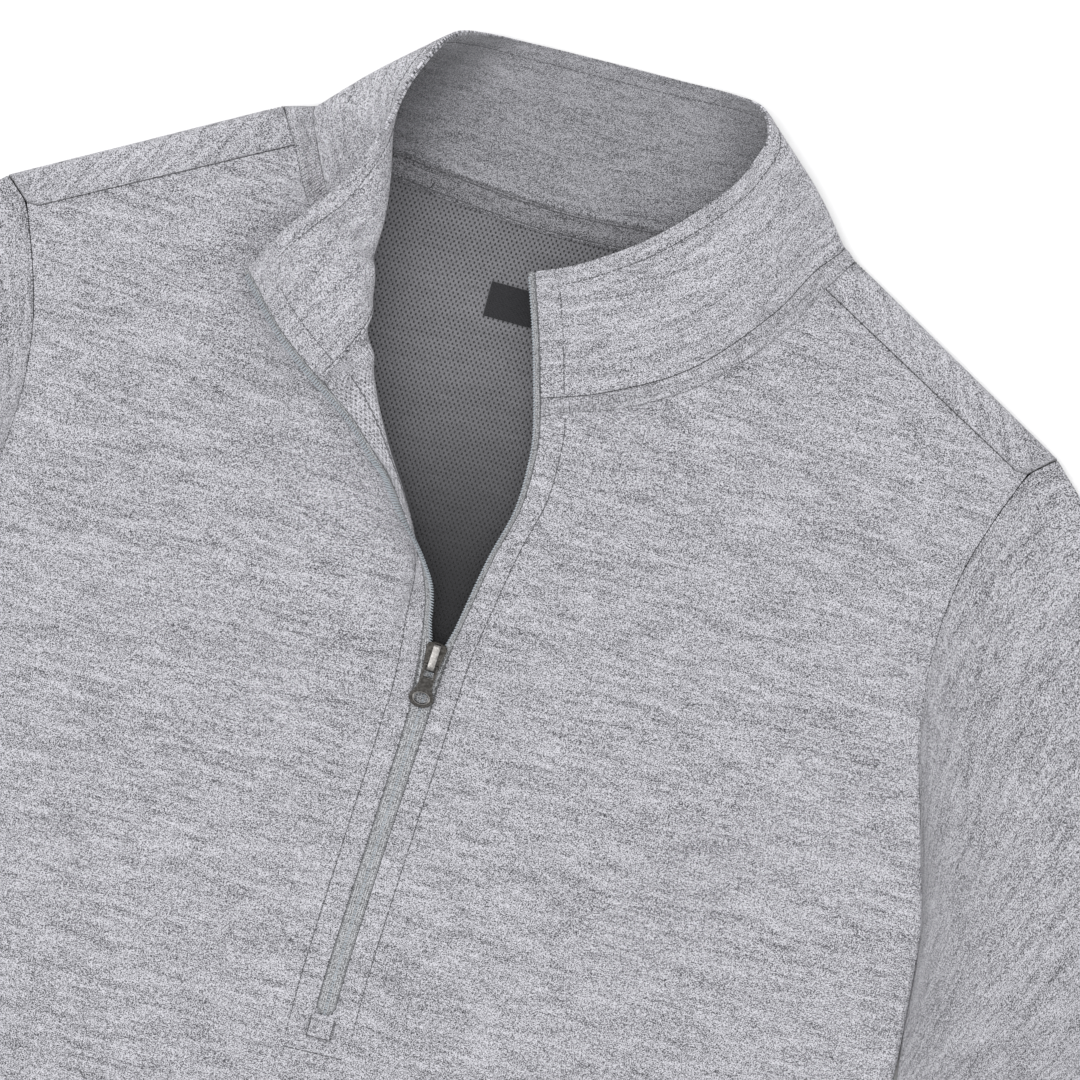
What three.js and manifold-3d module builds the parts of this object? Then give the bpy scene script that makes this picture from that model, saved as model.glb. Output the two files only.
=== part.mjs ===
// A quarter zip sweater lying flat on its back, in millimetres.
// X runs across the garment, Y from the hem to the collar, Z up off the surface it lies on.
import * as THREE from 'three';
import { mergeVertices } from 'three/addons/utils/BufferGeometryUtils.js';
import Module from 'manifold-3d';

const wasm = await Module();
wasm.setup();

// Walls and gaps.
const clothWall = 1.6;
const collarWall = 1.4;
const tapeWall = 1.0;
const seamGap = 0.3;
const plyGap = 0.3;
const bindingGap = 0.6;
const plyApart = (collarWall + plyGap) / 2;

// The laid-out body: Y = 0 at the tips of the shoulders, X = 0 at the centre front.
const hemY = -632;
const hemHalf = 244;
const neckY = -37;
const armpit = { x: 230.5, y: -203 };
const tip = { x: 223, y: -6 };
const shoulderNeck = { x: 118, y: 48 };
const shoulderRun = Math.hypot(tip.x - shoulderNeck.x, tip.y - shoulderNeck.y);
const seamReach = 14;
const foldRadius = 4.5;
const sideRadius = 3.5;
const sideStrip = (sideRadius * Math.PI) / 2;
const stripShort = 0.42;
const stripUsed = 1 - stripShort / sideStrip;
const shoulderLine = { neck: [124.2, 59.1], tip: [229.5, 0.0] };
const airMiddle = 4.4;
const backMiddle = clothWall / 2;
const restWithin = 0.08;
const shoulderTop = backMiddle + 2 * foldRadius;
const sideTop = backMiddle + 2 * sideRadius;
const armholeTop = 8.8;
const hemTop = 4.2;
const sleeveTuck = 2.2;

// The zip: a slit from the neck down to its foot.
const zipFootY = -306;
const tapeShown = 3.8;
const tapeGap = 0.9;
const slider = { x: -2.7, y: -148.5, z: 11.2, pitch: 0.05, lean: -0.043 };
const endPatch = { width: 11, height: 13, below: 7.6 };

// The tape and the label inside the back neck.
const neckTapeWidth = 12;
const label = { x: -3, y: 6.5, width: 36, height: 15 };

// A table is a row of column names and then its rows.
function table(names, rows) {
  return rows.map((row) => Object.fromEntries(names.map((name, i) => [name, row[i]])));
}

// The edges of the slit, their height, by Y down the centre front.
const slit = table(['y', 'left', 'right', 'z'], [
  [hemY, -4.5, 4.5, hemTop],
  [-400, -11, -1, 4.6],
  [zipFootY, -12.5, -3.7, 5.6],
  [-260, -11, -2.4, 6.2],
  [-180, -7.6, 1.6, 7.2],
  [-150, -7.6, 3.2, 8.0],
  [-125, -8.6, 7, 8.6],
  [-100, -11.3, 11.3, 9.2],
  [-76, -14, 17, 9.6],
  [-50, -15, 17, 9.8],
  [neckY, -14.6, 14.6, 9.8],
]);

// The turned-out left edge, by Y in the flat pattern: where its edge and its roll lie, how far the roll
// and the foot of the rise are from the edge, and how steeply the cloth stands at the roll.
const lapel = table(
  ['y', 'edgeX', 'edgeY', 'edgeZ', 'rollX', 'rollY', 'rollZ', 'rollAt', 'footAt', 'turn'], [
  [-172, -7.6, -172, 7.4, -19, -172, 7.3, 12, 40, 0],
  [-150, -9.4, -149, 9.0, -20, -149.5, 8.4, 12, 50, 8],
  [-138, -11, -137, 11, -20, -138, 9.4, 11, 55, 25],
  [-125, -13.8, -123, 14, -19.5, -126, 10.5, 10, 60, 48],
  [-110, -19.8, -109, 18.5, -20.5, -112, 12, 10, 64, 78],
  [-95, -30, -94, 21, -26, -98, 15, 11, 70, 90],
  [-80, -41, -79, 22.5, -34, -84, 18.5, 11.5, 76, 90],
  [-65, -52, -68.5, 23, -44.5, -68, 22, 13, 82, 90],
  [-50, -63.5, -58, 23.5, -54, -51, 26, 17, 88, 90],
  [neckY, -74.5, -50, 24, -60, -37.5, 28.8, 23, 94, 90],
  [-26, -81, -43, 24, -62.6, -29, 31.3, 29, 98, 86],
  [-18, -84, -38, 24, -71, -21, 25.5, 45, 104, 52],
  [-6, -86, -34, 24, -83, -5, 19, 63, 110, 26],
  [12, -88, -30, 24, -96, 12, 14, 81, 116, 10],
  [30, -90, -26, 24, -108, 29, 12, 94, 122, 4],
  [55, -92, -22, 24, -120, 53, 10.5, 106, 126, 0],
]);

// Round the neck: 0 right front edge, 1 right shoulder seam, 2 centre back, 3 left shoulder seam, 4 left
// front edge. Each row is a section of the collar, from its seam over a middle point to its top edge.
const collarRows = table(
  ['n', 'seamX', 'seamY', 'seamZ', 'midX', 'midY', 'midZ', 'topX', 'topY', 'topZ'], [
  [0, 12.5, -29, 10.2, 5, -3.5, 13.5, -4, 22.6, 15],
  [0.2, 37, -20, 10.5, 27, 5, 15, 14, 31, 16.5],
  [0.5, 71, 0, 11, 59, 25, 16.5, 42, 51, 18],
  [0.8, 99, 32, 11.6, 86, 56, 18, 67, 78.5, 20],
  [1, 111.5, 54.5, 12, 96, 77, 18.5, 74.5, 94, 21],
  [1.13, 120.5, 66.5, 8, 102, 87, 13.5, 77, 106, 18],
  [1.22, 112, 66.5, 3.4, 96, 91, 7, 72, 115.5, 12],
  [1.35, 94, 62, 1.8, 80, 89.5, 2.8, 60, 118.5, 5.4],
  [1.6, 56, 56.3, 1.65, 48, 87, 1.7, 36, 118.5, 2.4],
  [2, 0, 52.5, 1.65, 0, 86, 1.7, 0, 118, 2.2],
  [2.4, -56, 56.3, 1.65, -47, 87, 2.4, -34, 117, 5],
  [2.65, -92, 61.5, 2.2, -76, 88, 5.5, -52, 115.5, 12],
  [2.78, -107, 66, 4.2, -88, 89, 12, -63.5, 112, 22],
  [2.88, -113.5, 64.5, 8.2, -95, 82, 20, -70.5, 102, 31],
  [3, -109, 53, 12, -91, 67, 31, -77, 86, 43],
  [3.2, -98, 31, 13.6, -78, 48, 36, -81, 68, 49],
  [3.35, -88, 16, 16.5, -73.5, 29, 38, -86, 53, 49],
  [3.5, -79, 2, 20, -74, 12, 38, -94, 36, 43.5],
  [3.65, -68.5, -9, 26, -74, 4, 38, -104, 23, 37],
  [3.8, -69.3, -23, 32, -89, -6, 36, -113, 10, 29],
  [4, -81, -46, 24.5, -102, -30, 25, -123, -8, 18],
]);

// Half of the neck edge of the front, from the centre front to the shoulder seam.
const frontNeck = table(['x', 'y', 'z'], [
  [14.6, neckY, 9.8], [22, -33, 9.9], [43, -26, 10], [59, -18, 10], [77, -6, 10],
  [95, 12, 10], [108, 29, 9.9], [shoulderNeck.x, shoulderNeck.y, shoulderTop],
]);

// Half of the neck edge of the back in its flat pattern, from the shoulder seam to the centre.
const backNeck = table(['x', 'y'], [
  [137.2, 82.2], [131, 70], [124, 59.5], [103, 55], [76, 49.4], [40, 45], [0, 43.5],
]);

// Half of the armhole, from the armpit to the tip of the shoulder, and the side below it.
const armhole = table(['x', 'y'], [
  [armpit.x, armpit.y], [219, -166], [208, -128], [204, -88], [207, -55], [214, -30], [tip.x, tip.y],
]);
const side = table(['x', 'y'], [[hemHalf, hemY], [237, -400], [235, -273], [armpit.x, armpit.y]]);

// The same armhole on the back, up to the height of the tip in its flat pattern.
const backArmhole = table(['x', 'y'], [[armpit.x, armpit.y], [220, -150], [215, -95], [218, -45]]);

// Half of the outline of a sleeve, from the shoulder and the armpit down to the cuff.
const sleeveRows = table(['t', 'outerX', 'outerY', 'innerX', 'innerY', 'height'], [
  [0, 232, 3, armpit.x, armpit.y, 9],
  [0.08, 256, -20, 234.6, -222, 10],
  [0.2, 297, -60, 239.4, -262, 11],
  [0.4, 368, -146, 247.4, -330, 11],
  [0.6, 404, -276, 258, -414, 10.5],
  [0.8, 406, -430, 276, -510, 9.5],
  [1, 397, -596, 300, -612, 8.5],
]);

// A smooth curve through a table's values, with each tangent from the neighbours.
function through(rows, key, value, at) {
  const last = rows.length - 1;
  const x = Math.min(Math.max(at, rows[0][key]), rows[last][key]);
  let i = 0;
  while (i < last - 1 && x > rows[i + 1][key]) i += 1;
  const slope = (a, b) => (rows[b][value] - rows[a][value]) / (rows[b][key] - rows[a][key]);
  const tangent = (k) => slope(Math.max(k - 1, 0), Math.min(k + 1, last));
  const span = rows[i + 1][key] - rows[i][key];
  const s = (x - rows[i][key]) / span;
  return hermite(rows[i][value], tangent(i) * span, rows[i + 1][value], tangent(i + 1) * span, s);
}

function hermite(p0, m0, p1, m1, s) {
  const s2 = s * s;
  const s3 = s2 * s;
  return p0 * (2 * s3 - 3 * s2 + 1) + m0 * (s3 - 2 * s2 + s) + p1 * (3 * s2 - 2 * s3) + m1 * (s3 - s2);
}

const smooth = (a, b, x) => THREE.MathUtils.smoothstep(x, a, b);
const mix = THREE.MathUtils.lerp;
const point = (x, y, z) => new THREE.Vector3(x, y, z);

// Adds to each row how far along the polyline it lies, from 0 to 1.
function measured(rows) {
  let run = 0;
  const runs = rows.map((row, i) => {
    if (i > 0) run += Math.hypot(row.x - rows[i - 1].x, row.y - rows[i - 1].y);
    return run;
  });
  return rows.map((row, i) => ({ ...row, w: runs[i] / run }));
}

const frontNeckRun = measured(frontNeck);
const backNeckRun = measured(backNeck);
const armholeRun = measured(armhole);
const sideRun = measured(side);

// A Coons patch: the point inside four edges that meet at their ends.
function patch(edges, u, v) {
  const { left, right, bottom, top } = edges;
  return point(0, 0, 0)
    .addScaledVector(left(v), 1 - u)
    .addScaledVector(right(v), u)
    .addScaledVector(bottom(u), 1 - v)
    .addScaledVector(top(u), v)
    .addScaledVector(bottom(0), -(1 - u) * (1 - v))
    .addScaledVector(bottom(1), -u * (1 - v))
    .addScaledVector(top(0), -(1 - u) * v)
    .addScaledVector(top(1), -u * v);
}

// Cloth that comes down to the surface lies flat on it.
function rested(p) {
  if (p.z < restWithin) p.z = 0;
  return p;
}

// A closed wall on a grid of points on its middle surface. Cells for which open(i, j) holds are left out.
// The rows before and after it are its neighbours' points, which turn its edge square to theirs.
function wall(grid, thickness, options = {}) {
  const { offset = 0, ring = false, open = () => false, before = [], after = [] } = options;
  const rows = grid.length;
  const columns = grid[0].length;
  const cells = ring ? columns : columns - 1;
  const wrap = (j) => (ring ? (j + columns) % columns : Math.min(Math.max(j, 0), columns - 1));
  const clamp = (i) => Math.min(Math.max(i, 0), rows - 1);
  const normal = (i, j) => {
    const across = grid[i][wrap(j + 1)].clone().sub(grid[i][wrap(j - 1)]);
    const next = (i === rows - 1 && after[j]) || grid[clamp(i + 1)][j];
    const last = (i === 0 && before[j]) || grid[clamp(i - 1)][j];
    const along = next.clone().sub(last);
    return across.cross(along).normalize();
  };
  const outer = [];
  const inner = [];
  for (let i = 0; i < rows; i += 1) {
    for (let j = 0; j < columns; j += 1) {
      const n = normal(i, j);
      outer.push(rested(grid[i][j].clone().addScaledVector(n, offset + thickness / 2)));
      inner.push(rested(grid[i][j].clone().addScaledVector(n, offset - thickness / 2)));
    }
  }
  const positions = [];
  const quad = (a, b, c, d) => {
    for (const p of [a, b, c, a, c, d]) positions.push(p.x, p.y, p.z);
  };
  const solid = (i, j) => {
    if (i < 0 || i >= rows - 1) return false;
    if (!ring && (j < 0 || j >= cells)) return false;
    return !open(i, ring ? (j + cells) % cells : j);
  };
  for (let i = 0; i < rows - 1; i += 1) {
    for (let j = 0; j < cells; j += 1) {
      if (!solid(i, j)) continue;
      const a = i * columns + j;
      const b = i * columns + wrap(j + 1);
      const c = b + columns;
      const d = a + columns;
      quad(outer[a], outer[b], outer[c], outer[d]);
      quad(inner[a], inner[d], inner[c], inner[b]);
      if (!solid(i - 1, j)) quad(inner[a], inner[b], outer[b], outer[a]);
      if (!solid(i + 1, j)) quad(outer[d], outer[c], inner[c], inner[d]);
      if (!solid(i, j - 1)) quad(inner[d], inner[a], outer[a], outer[d]);
      if (!solid(i, j + 1)) quad(outer[c], outer[b], inner[b], inner[c]);
    }
  }
  const geometry = new THREE.BufferGeometry();
  geometry.setAttribute('position', new THREE.Float32BufferAttribute(positions, 3));
  return geometry;
}

// The front, right half: its four edges, and the strip that rolls down to the side seam.
function sideEdge(v, armpitV) {
  if (v <= armpitV) {
    const w = v / armpitV;
    return [through(sideRun, 'w', 'x', w), through(sideRun, 'w', 'y', w), 1];
  }
  const w = (v - armpitV) / (1 - armpitV);
  return [through(armholeRun, 'w', 'x', w), through(armholeRun, 'w', 'y', w), 1 - smooth(0, 0.2, w)];
}

const frontArmpitV = 0.685;
const frontNeckU = 0.55;

function frontEdges(edgeKey, sign) {
  return {
    left: (v) => {
      const y = mix(hemY, neckY, v);
      return point(sign * through(slit, 'y', edgeKey, y), y, through(slit, 'y', 'z', y));
    },
    right: (v) => {
      const [x, y, rolled] = sideEdge(v, frontArmpitV);
      const reach = mix(sideStrip, sideRadius, rolled);
      const top = mix(armholeTop, shoulderTop, smooth(0.9, 1, v));
      return point(x - reach, y, mix(top, sideTop, rolled));
    },
    bottom: (u) => {
      const start = sign * through(slit, 'y', edgeKey, hemY);
      return point(mix(start, hemHalf - sideRadius, u), hemY, mix(hemTop, sideTop, u ** 3));
    },
    top: (u) => {
      if (u <= frontNeckU) {
        const w = u / frontNeckU;
        return point(...['x', 'y', 'z'].map((k) => through(frontNeckRun, 'w', k, w)));
      }
      const w = (u - frontNeckU) / (1 - frontNeckU);
      const endX = tip.x - sideStrip;
      const endY = tip.y;
      return point(mix(shoulderNeck.x, endX, w), mix(shoulderNeck.y, endY, w), shoulderTop);
    },
  };
}

// The middle of the front settles on the back, and its edges stand on their folds.
function settled(p, u, v) {
  const inner = smooth(0.02, 0.25, u) * (1 - smooth(0.72, 0.97, u)) * (1 - smooth(0.72, 0.97, v));
  p.z = mix(p.z, airMiddle, inner);
  return p;
}

// The strip beyond the patch, bent down about the side fold where there is one.
function rolledStrip(start, fraction, rolled, down, heading = 0) {
  const angle = Math.max((Math.PI / 2) * rolled, 1e-4);
  const radius = sideStrip / angle;
  const turned = angle * fraction;
  const reach = radius * Math.sin(turned);
  return point(
    start.x + reach * Math.cos(heading),
    start.y + reach * Math.sin(heading),
    start.z + down * radius * (1 - Math.cos(turned)),
  );
}

function frontHalfPoint(edges, u, v) {
  if (u <= 1) return settled(patch(edges, u, v), u, v);
  const [, , rolled] = sideEdge(v, frontArmpitV);
  return rolledStrip(settled(patch(edges, 1, v), 1, v), (u - 1) * stripUsed, rolled, -1);
}

const rightEdges = frontEdges('right', 1);
const leftEdges = frontEdges('left', -1);

// The left half is the right one mirrored, with its opening edge turned out over a roll, which leaves the
// shoulder seam where it was.
function turnedOut(p) {
  const away = ((p.x + shoulderNeck.x) * (shoulderNeck.y - tip.y)
    - (p.y - shoulderNeck.y) * (tip.x - shoulderNeck.x)) / shoulderRun;
  return p.clone().lerp(turnedFreely(p), smooth(0, seamReach, away));
}

function turnedFreely(p) {
  const y = Math.min(Math.max(p.y, lapel[0].y), lapel[lapel.length - 1].y);
  const edgeAt = through(slit, 'y', 'left', Math.min(p.y, neckY));
  const run = edgeAt - p.x;
  const row = {};
  for (const key of Object.keys(lapel[0])) row[key] = through(lapel, 'y', key, y);
  if (p.y <= lapel[0].y || run >= row.footAt) return p;
  const turn = THREE.MathUtils.degToRad(row.turn);
  const roll = point(row.rollX, row.rollY, row.rollZ);
  const foot = point(edgeAt - row.footAt, p.y, p.z);
  const edge = point(row.edgeX, row.edgeY, row.edgeZ);
  const inward = point(roll.x - foot.x, roll.y - foot.y, 0);
  const reach = inward.length();
  inward.normalize();
  const rise = inward.clone().multiplyScalar(Math.cos(turn)).add(point(0, 0, Math.sin(turn)));
  const ease = (a, ma, b, mb, s) => point(
    hermite(a.x, ma.x, b.x, mb.x, s), hermite(a.y, ma.y, b.y, mb.y, s), hermite(a.z, ma.z, b.z, mb.z, s));
  if (run > row.rollAt) {
    const s = (row.footAt - run) / (row.footAt - row.rollAt);
    const start = point(1, 0, 0).multiplyScalar(reach * 1.05);
    const end = rise.clone().multiplyScalar(mix(reach, 1.6 * (roll.z - foot.z), Math.sin(turn)));
    return ease(foot, start, roll, end, s);
  }
  const s = (row.rollAt - run) / row.rollAt;
  const start = rise.clone().multiplyScalar(row.rollAt * 1.2);
  const end = edge.clone().sub(roll).normalize().multiplyScalar(row.rollAt);
  end.z -= 0.35 * row.rollAt * Math.sin(turn);
  return ease(roll, start, edge, end, s);
}

function frontLeftPoint(u, v) {
  const p = frontHalfPoint(leftEdges, u, v);
  return turnedOut(point(-p.x, p.y, p.z));
}

const frontRightPoint = (u, v) => frontHalfPoint(rightEdges, u, v);

// The back in its flat pattern, wrapped over the shoulder fold to the seam on the front.
const foldAlong = point(
  shoulderLine.tip[0] - shoulderLine.neck[0], shoulderLine.tip[1] - shoulderLine.neck[1], 0).normalize();
const foldOut = point(-foldAlong.y, foldAlong.x, 0);

function pastFold(x, y) {
  return (x - shoulderLine.neck[0]) * foldOut.x + (y - shoulderLine.neck[1]) * foldOut.y;
}

function wrapped(x, y, z) {
  const past = pastFold(x, y);
  if (past <= 0) return point(x, y, z);
  const base = point(x - past * foldOut.x, y - past * foldOut.y, 0);
  const halfTurn = Math.PI * foldRadius;
  if (past >= halfTurn) {
    base.addScaledVector(foldOut, halfTurn - past);
    return point(base.x, base.y, z + 2 * foldRadius);
  }
  const angle = past / foldRadius;
  base.addScaledVector(foldOut, foldRadius * Math.sin(angle));
  return point(base.x, base.y, z + foldRadius * (1 - Math.cos(angle)));
}

// The shoulder seam in the back's pattern, which comes to lie just behind the front's edge.
function seamInPattern(x, y) {
  const inside = -pastFold(x, y);
  const past = Math.PI * foldRadius + inside - seamGap;
  return [x + (inside + past) * foldOut.x, y + (inside + past) * foldOut.y];
}

const backArmpitV = 0.66;
const backNeckU = 0.55;
const tipPattern = seamInPattern(tip.x - sideStrip, tip.y);
const tipEdge = seamInPattern(tip.x, tip.y);
const backArmholeRun = measured([
  ...backArmhole,
  ...table(['x', 'y'], [[tipEdge[0] - 4, 2], tipEdge]),
]);

const tipHeading = Math.atan2(tipEdge[1] - tipPattern[1], tipEdge[0] - tipPattern[0]);

// The edge of the back's strip, how far it rolls, and the way that the strip runs to it.
function backSideEdge(v) {
  if (v <= backArmpitV) return [...sideEdge(v / backArmpitV, 1), 0];
  const w = (v - backArmpitV) / (1 - backArmpitV);
  const at = (key) => through(backArmholeRun, 'w', key, w);
  return [at('x'), at('y'), 1 - smooth(0, 0.2, w), tipHeading * smooth(0.6, 1, w)];
}

function backHalfPoint(u, v) {
  const edges = {
    left: (vv) => point(0, mix(hemY, backNeck[backNeck.length - 1].y, vv), backMiddle),
    right: (vv) => {
      const [x, y, rolled, heading] = backSideEdge(vv);
      const reach = mix(sideStrip, sideRadius, rolled);
      return point(x - reach * Math.cos(heading), y - reach * Math.sin(heading), backMiddle);
    },
    bottom: (uu) => point(mix(0, hemHalf - sideRadius, uu), hemY, backMiddle),
    top: (uu) => {
      if (uu <= backNeckU) {
        const w = 1 - uu / backNeckU;
        return point(through(backNeckRun, 'w', 'x', w), through(backNeckRun, 'w', 'y', w), backMiddle);
      }
      const w = (uu - backNeckU) / (1 - backNeckU);
      return point(mix(backNeck[0].x, tipPattern[0], w), mix(backNeck[0].y, tipPattern[1], w), backMiddle);
    },
  };
  const flat = patch(edges, Math.min(u, 1), v);
  if (u <= 1) return wrapped(flat.x, flat.y, flat.z);
  const [, , rolled, heading] = backSideEdge(v);
  const bent = rolledStrip(flat, (u - 1) * stripUsed, rolled, 1, heading);
  const over = wrapped(bent.x, bent.y, backMiddle);
  over.z += bent.z - backMiddle;
  return over;
}

const mirrored = (p) => point(-p.x, p.y, p.z);

// Where the edges of the slit, and of the rolled strips, fall in the grids.
const strip = [1, 1.34, 1.67, 2];
const frontLeftU = [0, 0.022, 0.045, 0.07, 0.1, 0.13, 0.165, 0.2, 0.24, 0.28, 0.33, 0.38, 0.435, 0.49,
  frontNeckU, 0.66, 0.78, 0.9];
const frontRightU = [0, 0.05, 0.11, 0.19, 0.28, 0.37, 0.46, frontNeckU, 0.66, 0.78, 0.9];
const footV = (zipFootY - hemY) / (neckY - hemY);
const frontV = [0, 0.14, 0.28, 0.42, 0.5, footV, 0.6, 0.65, 0.685, 0.72, 0.755, 0.785, 0.81, 0.833, 0.856,
  0.88, 0.904, 0.928, 0.952, 0.976, 1];
const backU = [0, 0.11, 0.22, 0.31, 0.37, 0.41, 0.44, 0.465, 0.485, 0.505, 0.525, backNeckU,
  0.66, 0.78, 0.9, ...strip];
const backV = [0, 0.2, 0.4, 0.56, 0.66, 0.71, 0.78, 0.85, 0.9, 0.93, 0.945, 0.96, 0.972, 0.986, 1];

function frontGrid() {
  const left = [...frontLeftU, ...strip].reverse();
  const right = [...frontRightU, ...strip];
  return frontV.map((v) => [
    ...left.map((u) => frontLeftPoint(u, v)),
    ...right.map((u) => frontRightPoint(u, v)),
  ]);
}

function backGrid() {
  const half = [...backU].reverse();
  return backV.map((v) => [
    ...half.map((u) => mirrored(backHalfPoint(u, v))),
    ...backU.slice(1).map((u) => backHalfPoint(u, v)),
  ]);
}

const slitColumn = frontLeftU.length + strip.length - 1;
const footRow = frontV.indexOf(footV);

// A sleeve: flattened rings from the armhole to the cuff, the top from the front armhole, the underside
// from the back armhole.
const sleeveT = [0.0015, 0.03, 0.08, 0.15, 0.24, 0.34, 0.46, 0.6, 0.74, 0.88, 1];
const armholeFrontV = [1, 0.96, 0.92, 0.87, 0.82, 0.77, 0.73, 0.7, 0.69];
const armholeBackV = [0.665, 0.69, 0.72, 0.78, 0.85, 0.9, 0.93, 0.945, 0.96, 0.98, 1];

function sleeveGrid() {
  const half = 10;
  const topEdge = armholeFrontV.map((v) => frontRightPoint(2, v));
  const underEdge = armholeBackV.map((v) => backHalfPoint(2, v));
  const turn = underEdge.findIndex((p) => p.z > backMiddle + foldRadius);
  const fold = underEdge[turn - 1].clone().lerp(underEdge[turn], 0.5);
  const over = [fold, ...underEdge.slice(turn), ...topEdge];
  const under = [fold, ...underEdge.slice(0, turn).reverse()];
  const along = (points, w) => {
    const rows = measured(points.map((p) => ({ x: p.x, y: p.y, z: p.z })));
    return point(...['x', 'y', 'z'].map((k) => through(rows, 'w', k, w)));
  };
  return sleeveT.map((t) => {
    const at = (key) => through(sleeveRows, 't', key, t);
    const outer = point(at('outerX'), at('outerY'), 0);
    const inner = point(at('innerX') + sleeveTuck, at('innerY'), 0);
    const outer0 = point(sleeveRows[0].outerX, sleeveRows[0].outerY, 0);
    const inner0 = point(armpit.x, armpit.y, 0);
    const shape = 1 - smooth(0, 0.4, t);
    const rise = smooth(0, 0.1, t);
    const loft = (at('height') - clothWall) / 2;
    const ring = [];
    for (let j = 0; j < 2 * half; j += 1) {
      const angle = (Math.PI * j) / half;
      const w = (1 - Math.cos(angle)) / 2;
      const top = Math.sin(angle) >= 0;
      const edge = along(top ? over : under, w);
      const straight = outer.clone().lerp(inner, w);
      const start = outer0.clone().lerp(inner0, w);
      const plan = straight.addScaledVector(edge.clone().setZ(0).sub(start), shape);
      const swell = Math.sign(Math.sin(angle)) * Math.abs(Math.sin(angle)) ** 0.4;
      const z = backMiddle + loft * (1 + swell);
      ring.push(point(plan.x, plan.y, mix(edge.z, z, rise)));
    }
    return ring;
  });
}

// The neck: the edge of the body at station n, and the collar's section there.
function neckEdge(n) {
  if (n <= 1) return frontRightPoint(n * frontNeckU, 1);
  if (n >= 3) return frontLeftPoint((4 - n) * frontNeckU, 1);
  if (n <= 2) return backHalfPoint((2 - n) * backNeckU, 1);
  return mirrored(backHalfPoint((n - 2) * backNeckU, 1));
}

function collarPoint(n, w) {
  const at = (key) => through(collarRows, 'n', key, n);
  const three = ['seam', 'mid', 'top'].map((k) => point(at(`${k}X`), at(`${k}Y`), at(`${k}Z`)));
  const low = three[0].distanceTo(three[1]);
  const middle = low / (low + three[1].distanceTo(three[2]));
  const rows = three.map((p, i) => ({ w: [0, middle, 1][i], x: p.x, y: p.y, z: p.z }));
  return point(...['x', 'y', 'z'].map((k) => through(rows, 'w', k, w)));
}

// The collar and the binding share their stations with the columns of the body's panels.
const onNeck = (list, most) => list.filter((u) => u <= most).map((u) => u / most);
const neckStations = [
  ...onNeck(frontRightU, frontNeckU),
  ...onNeck(backU, backNeckU).reverse().slice(1).map((w) => 2 - w),
  ...onNeck(backU, backNeckU).slice(1).map((w) => 2 + w),
  ...onNeck(frontLeftU, frontNeckU).reverse().slice(1).map((w) => 4 - w),
];
const collarAcross = [0, 0.12, 0.24, 0.36, 0.5, 0.66, 0.83, 1];

// Rows run from the seam to the top edge and columns round the neck from the right edge to the left one,
// so that the wall's normal points to the outside of the collar.
function collarGrid() {
  return collarAcross.map((w) => neckStations.map((n) => collarPoint(n, mix(0.016, 1, w))));
}

// The seam on the outer ply of the collar, which the binding meets.
function outerSeam(n) {
  const step = 0.01;
  const across = collarPoint(Math.min(n + step, 4), 0).sub(collarPoint(Math.max(n - step, 0), 0));
  const along = collarPoint(n, 0.1).sub(collarPoint(n, 0));
  return collarPoint(n, 0).addScaledVector(across.cross(along).normalize(), plyApart);
}

function bindingGrid() {
  return [0, 0.5, 1].map((w) => neckStations.map((n) => {
    const seam = outerSeam(n);
    const edge = neckEdge(n);
    const gap = bindingGap / edge.distanceTo(seam);
    return edge.clone().lerp(seam, mix(gap, 1 - gap, w));
  }));
}

// The tape over the back neck seam, on the inside of the back.
const onBack = clothWall + seamGap + tapeWall / 2;

function neckTapeGrid() {
  const stations = [2.6, 2.5, 2.4, 2.3, 2.2, 2.1, 2, 1.9, 1.8, 1.7, 1.6, 1.5];
  return [1, 0.5, 0].map((w) => stations.map((n) => {
    const seam = collarPoint(n, 0);
    return point(seam.x, seam.y - 0.8 - neckTapeWidth * w, onBack);
  }));
}

// A tape's strip along an opening edge: from the cloth's edge outwards in the plane of the cloth.
function tapeAlong(edgePoints) {
  return edgePoints.map(({ edge, inside }) => {
    const out = edge.clone().sub(inside).normalize();
    return [tapeGap, tapeGap + tapeShown / 2, tapeGap + tapeShown].map(
      (d) => edge.clone().addScaledVector(out, d));
  });
}

// The closed part of the tape fills its half of the window, a little below the cloth.
function closedTape(edgeKey, sign, rows) {
  return rows.map((y) => {
    const x = through(slit, 'y', edgeKey, y);
    const z = through(slit, 'y', 'z', y);
    const other = through(slit, 'y', edgeKey === 'left' ? 'right' : 'left', y);
    const centre = (x + other) / 2;
    return [0, 0.5, 1].map((w) => point(mix(x - sign * seamGap, centre + sign * seamGap / 2, w), y, z - 0.2));
  });
}

const closedRows = [zipFootY + 1, -290, -260, -220, -180, -165, -152];
const openV = [0.833, 0.856, 0.88, 0.904, 0.928, 0.952, 0.976, 1];
const collarEdgeW = [0.1, 0.3, 0.5, 0.75, 1];

function tapeGrid(key, sign, frontPoint, n, nextN) {
  const open = [
    ...openV.map((v) => ({ edge: frontPoint(0, v), inside: frontPoint(0.02, v) })),
    ...collarEdgeW.map((w) => ({ edge: collarPoint(n, w), inside: collarPoint(nextN, w) })),
  ];
  const rows = [...closedTape(key, sign, closedRows), ...tapeAlong(open)];
  return sign > 0 ? rows.map((row) => row.reverse()) : rows;
}

// A flat rectangle of cloth, at the height of what it lies on.
function rectangle({ x, y, width, height }, heightAt) {
  const halves = [-0.5, 0, 0.5];
  return halves.map((j) => {
    const rowY = y + j * height;
    return halves.map((i) => point(x + i * width, rowY, heightAt(rowY)));
  });
}

// The patch of self cloth at the foot of the zip lies on the front.
function endPatchGrid() {
  const centreX = (through(slit, 'y', 'left', zipFootY) + through(slit, 'y', 'right', zipFootY)) / 2;
  const onFront = (clothWall + tapeWall) / 2 + seamGap;
  return rectangle(
    { x: centreX, y: zipFootY - endPatch.below, width: endPatch.width, height: endPatch.height },
    (y) => through(slit, 'y', 'z', y) + onFront,
  );
}

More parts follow.
